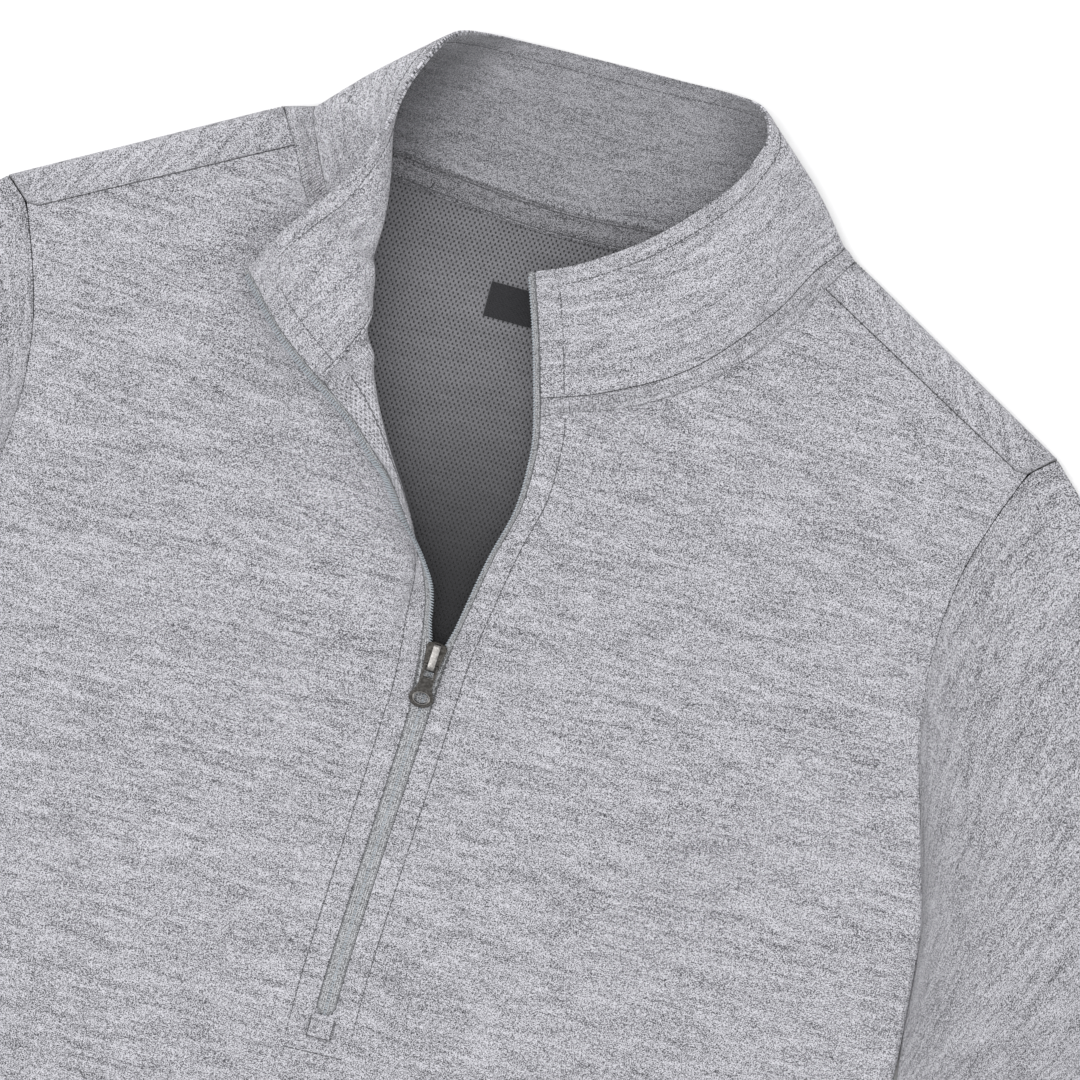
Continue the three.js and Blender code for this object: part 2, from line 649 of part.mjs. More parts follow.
// A closed three.js geometry as a solid that can be joined and cut.
function solidOf(geometry) {
  const bare = geometry.index ? geometry.toNonIndexed() : geometry.clone();
  bare.deleteAttribute('normal');
  bare.deleteAttribute('uv');
  const merged = mergeVertices(bare, 1e-4);
  return new wasm.Manifold(new wasm.Mesh({
    numProp: 3,
    vertProperties: merged.attributes.position.array,
    triVerts: new Uint32Array(merged.index.array),
  }));
}

function geometryOf(solid) {
  const mesh = solid.getMesh();
  const geometry = new THREE.BufferGeometry();
  geometry.setAttribute('position', new THREE.BufferAttribute(mesh.vertProperties, 3));
  geometry.setIndex(new THREE.BufferAttribute(mesh.triVerts, 1));
  return geometry.toNonIndexed();
}

// The slider, about its own centre: a waisted plate, its nose toward the hem, with a bridge along it and
// a wedge below that parts the two tapes.
const sliderSize = { length: 13, wide: 9.2, narrow: 7, plate: 1.6 };
const bridge = { length: 12, width: 3.2, height: 4.3, bar: 1.1 };
const post = { half: 1, from: 2.1, to: 4.1, depth: 4 };
const tab = {
  length: 19, neck: 5.6, foot: 11, thickness: 1.4, pin: 1.1, pinY: -3.8, pinHeight: 1.6, droop: 0.17,
  hole: { fromEnd: 4.3, halfWidth: 3.3, halfHeight: 2.3 },
};

function extruded(shape, depth, curveSegments = 6) {
  return new THREE.ExtrudeGeometry(shape, { depth, bevelEnabled: false, curveSegments });
}

function sliderGeometry() {
  const { length, wide, narrow, plate: thick } = sliderSize;
  const outline = new THREE.Shape();
  outline.moveTo(-narrow / 2, -length / 2 + 1);
  outline.quadraticCurveTo(-narrow / 2, -length / 2, -narrow / 2 + 1.4, -length / 2);
  outline.lineTo(narrow / 2 - 1.4, -length / 2);
  outline.quadraticCurveTo(narrow / 2, -length / 2, narrow / 2, -length / 2 + 1);
  outline.lineTo(wide / 2, length / 2 - 2.4);
  outline.quadraticCurveTo(wide / 2, length / 2, 0, length / 2);
  outline.quadraticCurveTo(-wide / 2, length / 2, -wide / 2, length / 2 - 2.4);
  outline.closePath();
  const body = solidOf(extruded(outline, thick));
  const arch = new THREE.Shape();
  const { length: long, height, bar, width } = bridge;
  arch.moveTo(-long / 2, -0.4);
  arch.lineTo(-long / 2, height * 0.55);
  arch.quadraticCurveTo(-long / 2, height, -long / 2 + 2, height);
  arch.lineTo(long / 2 - 2, height);
  arch.quadraticCurveTo(long / 2, height, long / 2, height * 0.55);
  arch.lineTo(long / 2, -0.4);
  arch.lineTo(long / 2 - bar, -0.4);
  arch.lineTo(long / 2 - bar, height - bar);
  arch.lineTo(-long / 2 + bar, height - bar);
  arch.lineTo(-long / 2 + bar, -0.4);
  arch.closePath();
  const raised = extruded(arch, width, 4);
  raised.applyMatrix4(new THREE.Matrix4().makeBasis(point(0, 1, 0), point(0, 0, 1), point(1, 0, 0)));
  raised.translate(-width / 2, 0, thick);
  const wedge = new THREE.BoxGeometry(2 * post.half, post.to - post.from, post.depth + 0.4);
  wedge.translate(0, (post.from + post.to) / 2, 0.2 - post.depth / 2);
  return geometryOf(body.add(solidOf(raised)).add(solidOf(wedge)));
}

// The pull tab about its pin: two cheeks beside the bridge, a waist and a round foot with a hole.
function tabGeometry() {
  const { length, neck, foot, thickness, pin, hole: eye } = tab;
  const inner = bridge.width / 2 + seamGap;
  const outline = new THREE.Shape();
  outline.moveTo(-neck / 2 - 0.6, pin / 2);
  outline.lineTo(-neck / 2 - 0.6, -5);
  outline.quadraticCurveTo(-neck / 2 + 0.2, -9, -foot / 2 + 1.2, -12.5);
  outline.quadraticCurveTo(-foot / 2, -14.5, -foot / 2 + 0.6, -length + 3);
  outline.quadraticCurveTo(-foot / 2 + 2.4, -length, 0, -length);
  outline.quadraticCurveTo(foot / 2 - 2.4, -length, foot / 2 - 0.6, -length + 3);
  outline.quadraticCurveTo(foot / 2, -14.5, foot / 2 - 1.2, -12.5);
  outline.quadraticCurveTo(neck / 2 - 0.2, -9, neck / 2 + 0.6, -5);
  outline.lineTo(neck / 2 + 0.6, pin / 2);
  outline.closePath();
  const slot = new THREE.Path();
  slot.moveTo(-inner, -pin / 2);
  slot.lineTo(inner, -pin / 2);
  slot.lineTo(inner, -5.2);
  slot.lineTo(-inner, -5.2);
  slot.closePath();
  outline.holes.push(slot);
  const hole = new THREE.Path();
  hole.absellipse(0, -length + eye.fromEnd, eye.halfWidth, eye.halfHeight, 0, Math.PI * 2, true);
  outline.holes.push(hole);
  const geometry = extruded(outline, thickness, 6);
  geometry.translate(0, 0, -thickness / 2);
  return geometryOf(solidOf(geometry));
}

const cloth = { color: 0xb4b6ba, roughness: 0.95, metalness: 0 };
const inside = { color: 0x8e9094, roughness: 0.95, metalness: 0 };
const tape = { color: 0x8f969b, roughness: 0.8, metalness: 0 };
const woven = { color: 0x1c1c1f, roughness: 0.7, metalness: 0 };
const metal = { color: 0x6e6c69, roughness: 0.35, metalness: 1 };

const group = new THREE.Group();

function add(name, geometry, look, parent = group) {
  const mesh = new THREE.Mesh(geometry, new THREE.MeshStandardMaterial(look));
  mesh.name = name;
  parent.add(mesh);
  return mesh;
}

const isSlit = (i, j) => j === slitColumn && i >= footRow;
const front = frontGrid();
const back = backGrid();
const collar = collarGrid();
const binding = bindingGrid();

// The columns of the front and the back that end at the neck, by station round the neck.
const rightStations = onNeck(frontRightU, frontNeckU).length;
const leftStations = onNeck(frontLeftU, frontNeckU).length;
const backStations = 2 * onNeck(backU, backNeckU).length - 1;
const frontColumn = (k) => (k < rightStations
  ? slitColumn + 1 + k
  : slitColumn - (neckStations.length - 1 - k));
const backColumn = (k) => backU.length - 1 + (rightStations - 1 + (backStations - 1) / 2 - k);
const onBackPanel = (k) => k > rightStations - 1 && k < neckStations.length - leftStations;

const frontAfter = [];
const backAfter = [];
const bindingBefore = neckStations.map((n, k) => {
  if (onBackPanel(k)) {
    backAfter[backColumn(k)] = binding[1][k];
    return back[back.length - 2][backColumn(k)];
  }
  frontAfter[frontColumn(k)] = binding[1][k];
  return front[front.length - 2][frontColumn(k)];
});
backAfter[backColumn(rightStations - 1)] = binding[1][rightStations - 1];
backAfter[backColumn(neckStations.length - leftStations)] = binding[1][neckStations.length - leftStations];
const toOuterPly = neckStations.map((n, k) => outerSeam(n).sub(collar[0][k]));
const bindingAfter = neckStations.map((n, k) => collar[1][k].clone().add(toOuterPly[k]));
const collarBefore = neckStations.map((n, k) => binding[1][k].clone().sub(toOuterPly[k]));

add('front', wall(front, clothWall, { open: isSlit, after: frontAfter }), cloth);
add('back', wall(back, clothWall, { after: backAfter }), cloth);

const sleeveLeft = sleeveGrid();
const sleeveRight = sleeveLeft.map((ring) => ring.map(mirrored).reverse());
add('sleeve_left', wall(sleeveLeft, clothWall, { ring: true }), cloth);
add('sleeve_right', wall(sleeveRight, clothWall, { ring: true }), cloth);

add('collar', wall(collar, collarWall, { offset: plyApart, before: collarBefore }), cloth);
add('collar_facing', wall(collar, collarWall, { offset: -plyApart, before: collarBefore }), cloth);
add('neck_binding', wall(binding, clothWall, { before: bindingBefore, after: bindingAfter }), cloth);
add('neck_tape', wall(neckTapeGrid(), tapeWall), inside);
add('label', wall(rectangle(label, () => onBack), tapeWall), woven);

add('zip_tape_left', wall(tapeGrid('left', -1, frontLeftPoint, 4, 3.95), tapeWall), tape);
add('zip_tape_right', wall(tapeGrid('right', 1, frontRightPoint, 0, 0.05), tapeWall), tape);
add('zip_end_patch', wall(endPatchGrid(), tapeWall), cloth);

// The slider lies on the zip and leans with it.
const sliderGroup = new THREE.Group();
sliderGroup.position.set(slider.x, slider.y, slider.z);
sliderGroup.rotation.set(slider.pitch, 0, slider.lean);
group.add(sliderGroup);
add('slider', sliderGeometry(), metal, sliderGroup);
const pull = add('pull_tab', tabGeometry(), metal, sliderGroup);
pull.position.set(0, tab.pinY, sliderSize.plate + tab.pinHeight);
pull.rotation.x = tab.droop;

// The origin is on the surface, under the middle of the garment.
const box = new THREE.Box3().setFromObject(group);
const centre = box.getCenter(new THREE.Vector3());
group.position.set(-centre.x, -centre.y, -box.min.z);

export default group;
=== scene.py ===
import math

import bpy
import numpy as np
from mathutils import Matrix, Vector


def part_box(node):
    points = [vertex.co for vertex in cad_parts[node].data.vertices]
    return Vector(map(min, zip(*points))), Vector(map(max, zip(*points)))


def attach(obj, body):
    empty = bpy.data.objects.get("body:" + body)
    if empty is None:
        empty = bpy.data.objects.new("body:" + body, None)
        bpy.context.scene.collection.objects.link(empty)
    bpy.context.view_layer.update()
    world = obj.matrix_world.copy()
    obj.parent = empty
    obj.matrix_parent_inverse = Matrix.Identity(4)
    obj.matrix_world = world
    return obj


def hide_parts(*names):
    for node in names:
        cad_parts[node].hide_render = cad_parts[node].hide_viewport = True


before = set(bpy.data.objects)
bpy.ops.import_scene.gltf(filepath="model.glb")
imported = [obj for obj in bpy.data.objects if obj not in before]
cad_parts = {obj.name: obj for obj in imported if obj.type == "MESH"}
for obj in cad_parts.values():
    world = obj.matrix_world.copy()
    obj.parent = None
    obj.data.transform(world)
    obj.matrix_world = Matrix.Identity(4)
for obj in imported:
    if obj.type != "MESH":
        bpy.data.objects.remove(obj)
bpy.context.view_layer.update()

print("frame loaded")

# Lengths are in millimetres in the garment's own axes: y is 0 at the tips of the shoulders and x at the
# centre front. Meshes are moved into the frame, in metres, as they are made. Left is the side of -x and
# right that of +x, except in the names of the sleeves, which are the wearer's.
hemY = -632.0
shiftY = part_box("front")[0].y * 1000 - hemY

body = {
    "wall": 1.25, "collarWall": 1.15, "tapeWall": 0.9, "seamGap": 0.3, "plyApart": 0.85,
    "hemHalf": 244.0, "neckY": -37.0, "armpit": (230.5, -203.0), "tip": (223.0, -6.0),
    "shoulderNeck": (118.0, 48.0), "foldRadius": 4.5, "sideRadius": 3.5, "airMiddle": 4.4,
    "backMiddle": 0.8, "armholeTop": 8.8, "hemTop": 4.2, "seamReach": 14.0, "sleeveTuck": 0.5,
    "foldNeck": (124.2, 59.1), "foldTip": (229.5, 0.0), "sleeveTip": (232.0, 3.0), "solidWall": 1.6,
    "edgeGrow": 0.12, "zipFootY": -306.0, "footSag": 3.4, "footPower": 2.6, "footReach": 14,
}
sideStrip = body["sideRadius"] * math.pi / 2
stripUsed = 1 - 0.42 / sideStrip
shoulderTop = body["backMiddle"] + 2 * body["foldRadius"]
sideTop = body["backMiddle"] + 2 * body["sideRadius"]


def table(names, rows):
    data = np.array(rows, float)
    return {name: data[:, i] for i, name in enumerate(names)}


slit = table(["y", "left", "right", "z"], [
    [hemY, -4.5, 4.5, body["hemTop"]],
    [-400, -11, -1, 4.6],
    [body["zipFootY"], -12.5, -3.7, 5.6],
    [-260, -11, -2.4, 6.2],
    [-180, -7.6, 1.6, 7.2],
    [-150, -7.6, 3.2, 8.0],
    [-125, -8.6, 7, 8.6],
    [-100, -11.3, 11.3, 9.2],
    [-76, -14, 17, 9.6],
    [-50, -15, 17, 9.8],
    [body["neckY"], -14.6, 14.6, 9.8],
])

# The turned-out edge on -x: its edge, its roll, and how far the roll and the foot of the rise are from it.
lapel = table(["y", "edgeX", "edgeY", "edgeZ", "rollX", "rollY", "rollZ", "rollAt", "footAt", "turn"], [
    [-172, -7.6, -172, 7.4, -19, -172, 7.3, 12, 40, 0],
    [-150, -9.4, -149, 9.0, -20, -149.5, 8.4, 12, 50, 8],
    [-138, -11, -137, 11, -20, -138, 9.4, 11, 55, 25],
    [-125, -13.8, -123, 14, -19.5, -126, 10.5, 10, 60, 48],
    [-110, -19.8, -109, 18.5, -20.5, -112, 12, 10, 64, 78],
    [-95, -30, -94, 21, -26, -98, 15, 11, 70, 90],
    [-80, -41, -79, 22.5, -34, -84, 18.5, 11.5, 76, 90],
    [-65, -52, -68.5, 23, -44.5, -68, 22, 13, 82, 90],
    [-50, -63.5, -58, 23.5, -54, -51, 26, 17, 88, 90],
    [-37, -74.5, -50, 24, -60, -37.5, 28.8, 23, 94, 90],
    [-26, -81, -43, 24, -62.6, -29, 31.3, 29, 98, 86],
    [-18, -84, -38, 24, -71, -21, 25.5, 45, 104, 52],
    [-6, -86, -34, 24, -83, -5, 19, 63, 110, 26],
    [12, -88, -30, 24, -96, 12, 14, 81, 116, 10],
    [30, -90, -26, 24, -108, 29, 12, 94, 122, 4],
    [55, -92, -22, 24, -120, 53, 10.5, 106, 126, 0],
])

# Sections of the collar round the neck: n is 0 at the front edge on +x, 2 at the back, 4 at the one on -x.
collarRows = table(["n", "seamX", "seamY", "seamZ", "midX", "midY", "midZ", "topX", "topY", "topZ"], [
    [0, 12.5, -29, 10.2, 5, -3.5, 13.5, -4, 22.6, 15],
    [0.2, 37, -20, 10.5, 27, 5, 15, 14, 31, 16.5],
    [0.5, 71, 0, 11, 59, 25, 16.5, 42, 51, 18],
    [0.8, 99, 32, 11.6, 86, 56, 18, 67, 78.5, 20],
    [1, 111.5, 54.5, 12, 96, 77, 18.5, 74.5, 94, 21],
    [1.13, 120.5, 66.5, 8, 102, 87, 13.5, 77, 106, 18],
    [1.22, 112, 66.5, 3.4, 96, 91, 7, 72, 115.5, 12],
    [1.35, 94, 62, 1.8, 80, 89.5, 2.8, 60, 118.5, 5.4],
    [1.6, 56, 56.3, 1.65, 48, 87, 1.7, 36, 118.5, 2.4],
    [2, 0, 52.5, 1.65, 0, 86, 1.7, 0, 118, 2.2],
    [2.4, -56, 56.3, 1.65, -47, 87, 2.4, -34, 117, 5],
    [2.65, -92, 61.5, 2.2, -76, 88, 5.5, -52, 115.5, 12],
    [2.78, -107, 66, 4.2, -88, 89, 12, -63.5, 112, 22],
    [2.88, -113.5, 64.5, 8.2, -95, 82, 20, -70.5, 102, 31],
    [3, -109, 53, 12, -91, 67, 31, -77, 86, 43],
    [3.2, -98, 31, 13.6, -78, 48, 36, -81, 68, 49],
    [3.35, -88, 16, 16.5, -73.5, 29, 38, -86, 53, 49],
    [3.5, -79, 2, 20, -74, 12, 38, -94, 36, 43.5],
    [3.65, -68.5, -9, 26, -74, 4, 38, -104, 23, 37],
    [3.8, -69.3, -23, 32, -89, -6, 36, -113, 10, 29],
    [4, -81, -46, 24.5, -102, -30, 25, -123, -8, 18],
])

frontNeck = table(["x", "y", "z"], [
    [14.6, -37, 9.8], [22, -33, 9.9], [43, -26, 10], [59, -18, 10], [77, -6, 10],
    [95, 12, 10], [108, 29, 9.9], [118, 48, shoulderTop],
])
backNeck = table(["x", "y"], [
    [137.2, 82.2], [131, 70], [124, 59.5], [103, 55], [76, 49.4], [40, 45], [0, 43.5],
])
armhole = table(["x", "y"], [
    body["armpit"], [219, -166], [208, -128], [204, -88], [207, -55], [214, -30], body["tip"],
])
sideLine = table(["x", "y"], [[body["hemHalf"], hemY], [237, -400], [235, -273], body["armpit"]])
sleeveRows = table(["t", "outerX", "outerY", "innerX", "innerY", "height"], [
    [0, *body["sleeveTip"], *body["armpit"], 9],
    [0.08, 256, -20, 233.2, -222, 10],
    [0.2, 297, -60, 236.2, -262, 11],
    [0.4, 368, -146, 246, -330, 11],
    [0.6, 404, -276, 258, -414, 10.5],
    [0.8, 406, -430, 276, -510, 9.5],
    [1, 397, -596, 300, -612, 8.5],
])


def hermite(p0, m0, p1, m1, s):
    s2, s3 = s * s, s * s * s
    return p0 * (2 * s3 - 3 * s2 + 1) + m0 * (s3 - 2 * s2 + s) + p1 * (3 * s2 - 2 * s3) + m1 * (s3 - s2)


def through(rows, key, value, at):  # a smooth curve through a table's values
    x, y = rows[key], rows[value]
    at = np.clip(at, x[0], x[-1])
    i = np.clip(np.searchsorted(x, at) - 1, 0, len(x) - 2)
    k = np.arange(len(x))
    last, following = np.maximum(k - 1, 0), np.minimum(k + 1, len(x) - 1)
    slope = (y[following] - y[last]) / (x[following] - x[last])
    span = x[i + 1] - x[i]
    return hermite(y[i], slope[i] * span, y[i + 1], slope[i + 1] * span, (at - x[i]) / span)


def smooth(a, b, x):
    t = np.clip((np.asarray(x, float) - a) / (b - a), 0, 1)
    return t * t * (3 - 2 * t)


def mix(a, b, t):
    return a + (b - a) * t


def points(x, y, z):
    return np.stack(np.broadcast_arrays(x, y, z), -1).astype(float)


def unit(v):
    return v / np.maximum(np.linalg.norm(v, axis=-1, keepdims=True), 1e-9)


def runAlong(line):  # the length from the first point of a line to each one
    return np.concatenate([[0], np.cumsum(np.linalg.norm(np.diff(line, axis=0), axis=-1))])


def placedAt(values, run, at):
    return np.stack([np.interp(at, run, values[:, k]) for k in range(3)], -1)


def groove(d):  # the pinch of a line of stitches, d away
    return 0.5 * np.exp(-(d / 0.55) ** 2)


def measured(rows):  # adds w, from 0 to 1 along the polyline
    step = np.hypot(np.diff(rows["x"]), np.diff(rows["y"]))
    run = np.concatenate([[0], np.cumsum(step)])
    return {**rows, "w": run / run[-1]}


def at3(rows, key, at):
    return points(*(through(rows, key, k, at) for k in "xyz"))


frontNeckRun = measured(frontNeck)
backNeckRun = measured(backNeck)
armholeRun = measured(armhole)
sideRun = measured(sideLine)
frontArmpitV, backArmpitV, neckU = 0.685, 0.66, 0.55


def patch(edges, u, v):  # a Coons patch inside four edges
    left, right, bottom, top = (edges[k] for k in ("left", "right", "bottom", "top"))
    uu, vv = u[..., None], v[..., None]
    zero, one = np.zeros(1), np.ones(1)
    return (
        left(v) * (1 - uu) + right(v) * uu + bottom(u) * (1 - vv) + top(u) * vv
        - bottom(zero) * (1 - uu) * (1 - vv) - bottom(one) * uu * (1 - vv)
        - top(zero) * (1 - uu) * vv - top(one) * uu * vv
    )


def sideEdge(v, armpitV):
    low, high = v / armpitV, (v - armpitV) / max(1 - armpitV, 1e-9)
    below = v <= armpitV
    x = np.where(below, through(sideRun, "w", "x", low), through(armholeRun, "w", "x", high))
    y = np.where(below, through(sideRun, "w", "y", low), through(armholeRun, "w", "y", high))
    return x, y, np.where(below, 1.0, 1 - smooth(0, 0.2, high))


def frontEdges(key, sign):
    def left(v):
        y = mix(hemY, body["neckY"], v)
        return points(sign * through(slit, "y", key, y), y, through(slit, "y", "z", y))

    def right(v):
        x, y, rolled = sideEdge(v, frontArmpitV)
        top = mix(body["armholeTop"], shoulderTop, smooth(0.9, 1, v))
        return points(x - mix(sideStrip, body["sideRadius"], rolled), y, mix(top, sideTop, rolled))

    def bottom(u):
        start = sign * through(slit, "y", key, hemY)
        x = mix(start, body["hemHalf"] - body["sideRadius"], u)
        return points(x, hemY, mix(body["hemTop"], sideTop, u ** 3))

    def top(u):
        w = (u - neckU) / (1 - neckU)
        (nx, ny), (tx, ty) = body["shoulderNeck"], body["tip"]
        line = points(mix(nx, tx - sideStrip, w), mix(ny, ty, w), shoulderTop)
        neck = at3(frontNeckRun, "w", u / neckU)
        return np.where((u <= neckU)[..., None], neck, line)

    return {"left": left, "right": right, "bottom": bottom, "top": top}


def rolledStrip(start, fraction, rolled, down, heading=0.0):  # the strip that bends round the side fold
    angle = np.maximum(math.pi / 2 * rolled, 1e-4)
    radius = sideStrip / angle
    turned = angle * fraction
    reach = radius * np.sin(turned)
    drop = down * radius * (1 - np.cos(turned))
    return start + points(reach * np.cos(heading), reach * np.sin(heading), drop)


# Soft ridges and troughs across a panel, each along a bent line.
creaseNames = ["x0", "y0", "x1", "y1", "bend", "width", "height"]
frontCreases = table(creaseNames, [
    [-40, -175, -24, -300, 4, 13, -1.3],
    [-60, -150, -46, -290, -6, 16, 0.9],
    [-150, -40, -60, -150, 10, 20, -0.9],
    [-205, -60, -120, -150, 8, 17, 0.9],
    [-190, -170, -80, -250, -8, 24, 0.8],
    [-214, -230, -120, -330, 8, 22, -0.8],
    [60, -60, 100, -170, 8, 22, -0.8],
    [120, -20, 175, -110, -8, 18, 0.8],
    [196, -150, 120, -215, 9, 15, -0.9],
    [212, -188, 130, -262, 8, 13, 0.9],
    [220, -214, 165, -300, 6, 12, -0.8],
    [40, -200, 90, -330, -9, 26, 0.7],
    [25, -170, 22, -330, 3, 12, -0.8],
    [-170, -400, -40, -450, 12, 30, 0.9],
    [30, -430, 190, -390, -12, 28, 0.9],
    [-120, -520, 60, -560, 10, 30, 0.8],
    [70, -540, 200, -590, -9, 26, -0.8],
])


def creased(rows, x, y):
    height = np.zeros(np.broadcast(x, y).shape)
    for x0, y0, x1, y1, bend, width, tall in zip(*(rows[k] for k in creaseNames)):
        run = math.hypot(x1 - x0, y1 - y0)
        dx, dy = (x1 - x0) / run, (y1 - y0) / run
        s = ((x - x0) * dx + (y - y0) * dy) / run
        across = -(x - x0) * dy + (y - y0) * dx - bend * 4 * s * (1 - s)
        ends = smooth(-0.15, 0.3, s) * (1 - smooth(0.7, 1.15, s))
        height += tall * ends * np.exp(-(across / width) ** 2)
    return height


def frontHalf(edges, u, v, side):
    inside = np.minimum(u, 1)
    flat = patch(edges, inside, v)
    calm = smooth(0.02, 0.25, inside) * (1 - smooth(0.72, 0.97, inside)) * (1 - smooth(0.72, 0.97, v))
    flat[..., 2] = mix(flat[..., 2], body["airMiddle"], calm)
    free = smooth(0.03, 0.09, inside) * (1 - smooth(0.85, 0.99, inside)) * (1 - smooth(0.93, 0.995, v))
    flat[..., 2] += free * creased(frontCreases, side * flat[..., 0], flat[..., 1])
    rolled = sideEdge(v, frontArmpitV)[2]
    past = np.maximum(u - 1, 0)
    pattern = flat[..., :2] + np.stack([past * sideStrip, 0 * past], -1)
    strip = rolledStrip(flat, past * stripUsed, rolled, -1)
    return np.where((u > 1)[..., None], strip, flat), pattern


rightEdges = frontEdges("right", 1)
leftEdges = frontEdges("left", -1)


def turnedOut(p):  # leaves the shoulder seam where it was
    (nx, ny), (tx, ty) = body["shoulderNeck"], body["tip"]
    away = ((p[..., 0] + nx) * (ny - ty) - (p[..., 1] - ny) * (tx - nx)) / math.hypot(tx - nx, ty - ny)
    return mix(p, turnedFreely(p), smooth(0, body["seamReach"], away)[..., None])


def turnedFreely(p):  # the opening edge on -x, turned out over a roll
    y = np.clip(p[..., 1], lapel["y"][0], lapel["y"][-1])
    edgeAt = through(slit, "y", "left", np.minimum(p[..., 1], body["neckY"]))
    run = edgeAt - p[..., 0]
    row = {key: through(lapel, "y", key, y) for key in lapel}
    turn = np.radians(row["turn"])
    roll = points(row["rollX"], row["rollY"], row["rollZ"])
    foot = points(edgeAt - row["footAt"], p[..., 1], p[..., 2])
    edge = points(row["edgeX"], row["edgeY"], row["edgeZ"])
    inward = (roll - foot) * [1, 1, 0]
    reach = np.linalg.norm(inward, axis=-1)[..., None]
    cosTurn, sinTurn = np.cos(turn)[..., None], np.sin(turn)[..., None]
    rise = unit(inward) * cosTurn + sinTurn * np.array([0, 0, 1.0])
    s = ((row["footAt"] - run) / (row["footAt"] - row["rollAt"]))[..., None]
    lift = (roll - foot)[..., 2:]
    outer = hermite(foot, reach * 1.05 * np.array([1.0, 0, 0]), roll,
                    rise * mix(reach, 1.6 * lift, sinTurn), s)
    rollAt = row["rollAt"][..., None]
    s = (rollAt - run[..., None]) / rollAt
    end = unit(edge - roll) * rollAt - points(0, 0, 0.35 * row["rollAt"] * np.sin(turn))
    leaf = hermite(roll, rise * rollAt * 1.2, edge, end, s)
    turned = np.where(run[..., None] > rollAt, outer, leaf)
    still = (p[..., 1] <= lapel["y"][0]) | (run >= row["footAt"])
    return np.where(still[..., None], p, turned)


mirror = np.array([-1.0, 1, 1])


def frontRight(u, v):
    return frontHalf(rightEdges, u, v, 1)[0]


def frontLeft(u, v):
    return turnedOut(frontHalf(leftEdges, u, v, -1)[0] * mirror)


foldAlong = unit(np.array(body["foldTip"]) - np.array(body["foldNeck"]))
foldOut = np.array([-foldAlong[1], foldAlong[0]])


def pastFold(x, y):
    return (x - body["foldNeck"][0]) * foldOut[0] + (y - body["foldNeck"][1]) * foldOut[1]


def wrapped(x, y, z):  # over the shoulder fold, onto the front
    radius = body["foldRadius"]
    past = pastFold(x, y)
    half = math.pi * radius
    angle = np.clip(past / radius, 0, math.pi)
    reach = np.where(past >= half, half - past, radius * np.sin(angle)) - past
    reach = np.where(past <= 0, 0, reach)
    return points(x + reach * foldOut[0], y + reach * foldOut[1], z + radius * (1 - np.cos(angle)))


def seamInPattern(x, y):
    inside = -pastFold(x, y)
    past = math.pi * body["foldRadius"] + inside - body["seamGap"]
    return x + (inside + past) * foldOut[0], y + (inside + past) * foldOut[1]


tipPattern = seamInPattern(body["tip"][0] - sideStrip, body["tip"][1])
tipEdge = seamInPattern(*body["tip"])
tipHeading = math.atan2(tipEdge[1] - tipPattern[1], tipEdge[0] - tipPattern[0])
backArmholeRun = measured(table(["x", "y"], [
    body["armpit"], [220, -150], [215, -95], [218, -45], [tipEdge[0] - 4, 2], tipEdge,
]))


def backSide(v):
    below = v <= backArmpitV
    low = sideEdge(np.minimum(v / backArmpitV, 1), 1)
    w = (v - backArmpitV) / (1 - backArmpitV)
    x = np.where(below, low[0], through(backArmholeRun, "w", "x", w))
    y = np.where(below, low[1], through(backArmholeRun, "w", "y", w))
    heading = np.where(below, 0.0, tipHeading * smooth(0.6, 1, w))
    return x, y, np.where(below, 1.0, 1 - smooth(0, 0.2, w)), heading


def backEdges():
    def right(v):
        x, y, rolled, heading = backSide(v)
        reach = mix(sideStrip, body["sideRadius"], rolled)
        return points(x - reach * np.cos(heading), y - reach * np.sin(heading), body["backMiddle"])

    def top(u):
        w = (u - neckU) / (1 - neckU)
        line = points(mix(backNeck["x"][0], tipPattern[0], w), mix(backNeck["y"][0], tipPattern[1], w),
                      body["backMiddle"])
        n = 1 - u / neckU
        neck = points(*(through(backNeckRun, "w", k, n) for k in "xy"), body["backMiddle"])
        return np.where((u <= neckU)[..., None], neck, line)

    return {
        "left": lambda v: points(0, mix(hemY, backNeck["y"][-1], v), body["backMiddle"]),
        "right": right,
        "bottom": lambda u: points((body["hemHalf"] - body["sideRadius"]) * u, hemY, body["backMiddle"]),
        "top": top,
    }


backPanel = backEdges()


def backFlat(u, v):
    inside = np.minimum(u, 1)
    flat = patch(backPanel, inside, v)
    past = np.maximum(u - 1, 0)
    return flat, past, flat[..., :2] + np.stack([past * sideStrip, 0 * past], -1)


def backHalf(u, v):
    flat, past, _ = backFlat(u, v)
    middle = body["backMiddle"]
    _, _, rolled, heading = backSide(v)
    strip = rolledStrip(flat, past * stripUsed, rolled, 1, heading)
    over = wrapped(strip[..., 0], strip[..., 1], middle)
    over[..., 2] += strip[..., 2] - middle
    plain = wrapped(flat[..., 0], flat[..., 1], flat[..., 2])
    return np.where((u > 1)[..., None], over, plain)


def collarPoint(n, w):  # w runs from the neck seam to the top edge
    three = [points(*(through(collarRows, "n", k + a, n) for a in "XYZ")) for k in ("seam", "mid", "top")]
    low, high = (np.linalg.norm(three[i + 1] - three[i], axis=-1)[..., None] for i in (0, 1))
    m = low / (low + high)
    w = np.broadcast_to(w, np.shape(n))[..., None]
    first, last = (three[1] - three[0]) / m, (three[2] - three[1]) / (1 - m)
    middle = three[2] - three[0]
    lower = hermite(three[0], first * m, three[1], middle * m, w / m)
    upper = hermite(three[1], middle * (1 - m), three[2], last * (1 - m), (w - m) / (1 - m))
    return np.where(w <= m, lower, upper)


